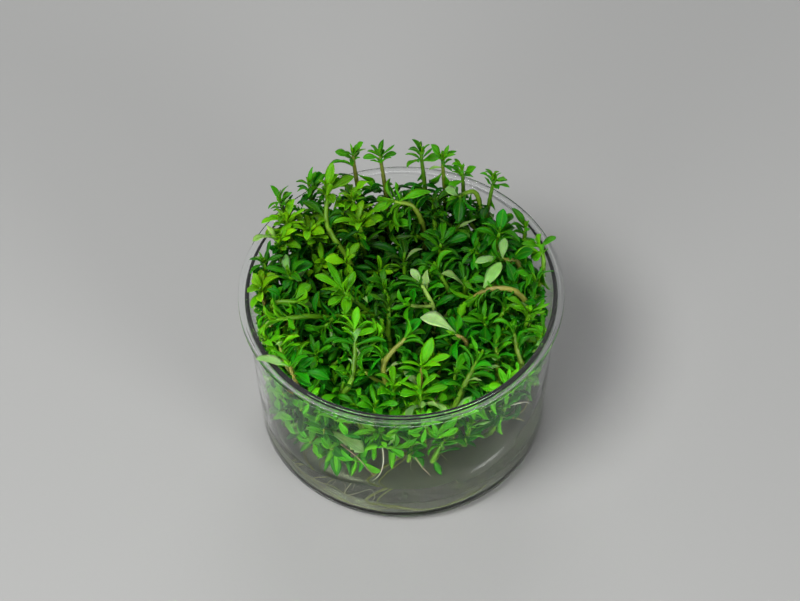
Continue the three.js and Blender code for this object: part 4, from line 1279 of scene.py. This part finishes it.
def rounded(profile, steps=5):
    """A profile of (radius, height, corner radius) with its corners rounded."""
    points = []
    for k, (x, z, r) in enumerate(profile):
        here = np.array((x, z), float)
        if r == 0 or k in (0, len(profile) - 1):
            points.append(here)
            continue
        before = np.array(profile[k - 1][:2], float) - here
        after = np.array(profile[k + 1][:2], float) - here
        half = math.acos(np.clip(unit(before) @ unit(after), -1, 1)) / 2
        back = min(r / math.tan(half), 0.48 * np.linalg.norm(before), 0.48 * np.linalg.norm(after))
        start, end = here + unit(before) * back, here + unit(after) * back
        for i in range(steps + 1):
            t = i / steps
            points.append((1 - t) ** 2 * start + 2 * t * (1 - t) * here + t ** 2 * end)
    return points


def ring(r, z, steps):
    angles = np.arange(steps) * 2 * math.pi / steps
    return [(r * math.cos(a), r * math.sin(a), z) for a in angles]


def turned_faces(rings, steps, inward=False):
    """Faces of a closed form turned about Z: a point, rings of as many steps, and a last point."""
    faces = []
    last = rings * steps + 1
    for k in range(steps):
        n = (k + 1) % steps
        faces.append((0, 1 + n, 1 + k))
        for i in range(rings - 1):
            a, b = 1 + i * steps, 1 + (i + 1) * steps
            faces.append((a + k, a + n, b + n, b + k))
        end = 1 + (rings - 1) * steps
        faces.append((end + k, end + n, last))
    return [(face[0], *reversed(face[1:])) for face in faces] if inward else faces


def lathe(profile, steps):
    """A closed profile that starts and ends on the axis, turned about Z."""
    verts = [(0, 0, profile[0][1])]
    for r, z in profile[1:-1]:
        verts += ring(r, z, steps)
    verts.append((0, 0, profile[-1][1]))
    return verts, turned_faces(len(profile) - 2, steps)


bead_inner = RIM_RADIUS - RIM_BEAD_WIDTH
inside_foot = BODY_FOOT_RADIUS - WALL
cup_profile = rounded([
    (0, RECESS_DEPTH, 0),
    (RECESS_RADIUS, RECESS_DEPTH, 1.0),
    (FOOT_RING_INNER, 0, 0.6),
    (FOOT_RING_OUTER, 0, 0.8),
    (BODY_FOOT_RADIUS - 0.9, 0.9, 1.6),
    (BODY_FOOT_RADIUS, 3.0, 2.0),
    (BODY_TOP_RADIUS, CUP_HEIGHT - RIM_THICKNESS, 0.3),
    (bead_inner, CUP_HEIGHT - RIM_THICKNESS, 0.15),
    (bead_inner, CUP_HEIGHT - RIM_BEAD_HEIGHT, 0.35),
    (RIM_RADIUS, CUP_HEIGHT - RIM_BEAD_HEIGHT, 0.45),
    (RIM_RADIUS, CUP_HEIGHT, 0.45),
    (bead_inner, CUP_HEIGHT, 0.35),
    (bead_inner - 0.1, CUP_HEIGHT - 0.3, 0.1),
    (BODY_TOP_RADIUS - 0.1, CUP_HEIGHT - 0.3, 0.1),
    (BODY_TOP_RADIUS - 0.3, CUP_HEIGHT, 0.25),
    (MOUTH_RADIUS, CUP_HEIGHT, 0.45),
    (inside_foot, 4.0, 2.5),
    (inside_foot - 1.5, FLOOR + 0.4, 1.4),
    (FOOT_RING_INNER + 0.8, FLOOR, 0.8),
    (RECESS_RADIUS, FLOOR + RECESS_DEPTH, 1.0),
    (0, FLOOR + RECESS_DEPTH, 0),
])
cup = new_piece("cup_clear", [PLASTIC, RIM], *lathe(cup_profile, 144), 50)
for polygon in cup.data.polygons:
    middle = polygon.center / MM
    if middle.z > CUP_HEIGHT - 0.35 and math.hypot(middle.x, middle.y) > MOUTH_RADIUS:
        polygon.material_index = 1
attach(cup, "root")
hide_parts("cup")


def gel_surface(x, y):
    """The gel's slanted top, softly bent and a little uneven.

    It meets the wall drawn up, or rounded off."""
    bend = 3.0
    reach = abs(x) - GEL_FLAT_REACH
    soft = 0.5 * (reach + math.sqrt(reach * reach + bend * bend))
    beyond = soft - 0.5 * (math.sqrt(GEL_FLAT_REACH ** 2 + bend ** 2) - GEL_FLAT_REACH)
    z = GEL_MIDDLE_HEIGHT + GEL_SLOPE * max(beyond, 0) * (1 if x > 0 else -1)
    z += 0.12 * math.sin(0.31 * x + 0.6) * math.cos(0.27 * y) + 0.07 * math.sin(0.83 * y + 0.5 * x)
    edge = math.hypot(x, y) - (inner_wall(z) - 0.2)
    rounded_off = math.exp(-((math.atan2(y, x) + 0.93) / 0.62) ** 2)
    return z + (0.9 - 2.3 * rounded_off) * math.exp(min(edge, 0) / (0.9 - 0.3 * rounded_off))


def gel_mesh():
    steps = 128
    foot = 4.0
    verts = [(0, 0, gel_surface(0, 0))]
    for r in np.concatenate((np.linspace(1.5, 33, 22), np.linspace(33.8, 37.4, 9))):
        verts += [(x, y, gel_surface(x, y)) for x, y, _ in ring(r, 0, steps)]
    edge = []
    for x, y, _ in ring(1, 0, steps):
        r = inner_wall(gel_surface(37.9 * x, 37.9 * y)) + GEL_PROUD
        edge.append((r * x, r * y, gel_surface(r * x, r * y)))
    verts += edge
    for share in (0.3, 0.6, 0.85, 1.0):
        for x, y, z in edge:
            height = z + (foot - z) * share
            scale = (inner_wall(height) + GEL_PROUD) / math.hypot(x, y)
            verts.append((x * scale, y * scale, height))
    middle = FLOOR + RECESS_DEPTH - GEL_PROUD
    under = rounded([(inside_foot + GEL_PROUD, foot, 0), (inside_foot - 1.5, FLOOR + 0.36, 1.4),
                     (FOOT_RING_INNER + 0.8, FLOOR - GEL_PROUD, 0.8), (RECESS_RADIUS, middle, 1.0),
                     (0, middle, 0)])[1:-1]
    for r, z in under:
        verts += ring(r, z, steps)
    verts.append((0, 0, middle))
    return verts, turned_faces((len(verts) - 2) // steps, steps, inward=True)


gel = new_piece("gel_block", [GEL], *gel_mesh(), 60)
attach(gel, "root")
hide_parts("gel")


def plant_piece(plant):
    """One piece of a plantlet's stem, side shoots, leaves and roots."""
    thick, thin = (0.58, 0.36) if plant["tall"] else (0.7, 0.42)
    parts = [stem_mesh(plant, plant["curve"], thick, thin, STEM_NODES)]
    parts += [stem_mesh(plant, branch, 0.55, 0.38, SHOOT_NODES) for branch in plant["shoots"]]
    parts += [leaf_mesh(plant, leaf) for leaf in plant["leaves"]]
    parts += gel_roots(plant)
    parts += [root_mesh(points, thick, thick * 0.45, colour)
              for owner, points, thick, colour in LOOSE_ROOTS if owner == plant["name"]]
    parts += [low_root(plant, places, thick, colour)
              for owner, places, thick, colour in LOW_ROOTS if owner == plant["name"]]
    verts, faces, colours, uvs, slots = [], [], [], [], []
    start = 0
    for points, polygons, colour, uv, material in parts:
        verts.append(points)
        faces += [tuple(start + i for i in polygon) for polygon in polygons]
        colours.append(colour)
        uvs.append(uv)
        slots += [material] * len(polygons)
        start += len(points)
    piece = new_piece("plant_" + plant["name"], [LEAF, STEM, ROOT], np.concatenate(verts), faces)
    mesh = piece.data
    mesh.polygons.foreach_set("material_index", slots)
    tone = mesh.color_attributes.new("tone", "FLOAT_COLOR", "POINT")
    tone.data.foreach_set("color", np.insert(np.concatenate(colours), 3, 1, axis=1).ravel())
    corners = np.zeros(len(mesh.loops), int)
    mesh.loops.foreach_get("vertex_index", corners)
    blade = mesh.uv_layers.new(name="blade")
    blade.data.foreach_set("uv", np.concatenate(uvs)[corners].ravel())
    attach(piece, "root")
    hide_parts("sprig_" + plant["name"])


for plant in plants:
    plant_piece(plant)

# Floor and light
bpy.context.scene.view_settings.view_transform = "Standard"
FLOOR_REACH = 4000
floor_corners = [(x * FLOOR_REACH, y * FLOOR_REACH, 0)
                 for x, y in ((-1, -1), (1, -1), (1, 1), (-1, 1))]
floor = new_piece("floor", [floor_material()], floor_corners, [(0, 1, 2, 3)])


def area_light(name, place, size, power):
    data = bpy.data.lights.new(name, "AREA")
    data.shape = "DISK"
    data.size = size
    data.energy = power
    light = bpy.data.objects.new(name, data)
    light.location = place
    light.rotation_mode = "QUATERNION"
    light.rotation_quaternion = (Vector((0, 0, 0.04)) - Vector(place)).to_track_quat("-Z", "Y")
    bpy.context.scene.collection.objects.link(light)


area_light("key", (-0.32, -0.28, 0.77), 0.35, 6.1)
area_light("front_right", (0.60, -0.64, 0.22), 0.4, 5.5)
area_light("front_left", (-0.42, -0.78, 0.18), 0.4, 4.5)
area_light("back", (0.05, 0.80, 0.5), 0.6, 2.2)
world = bpy.data.worlds.new("studio")
world.use_nodes = True
set_inputs(world.node_tree.nodes["Background"], Color=(0.9, 0.93, 1.0, 1), Strength=0.15)
bpy.context.scene.world = world
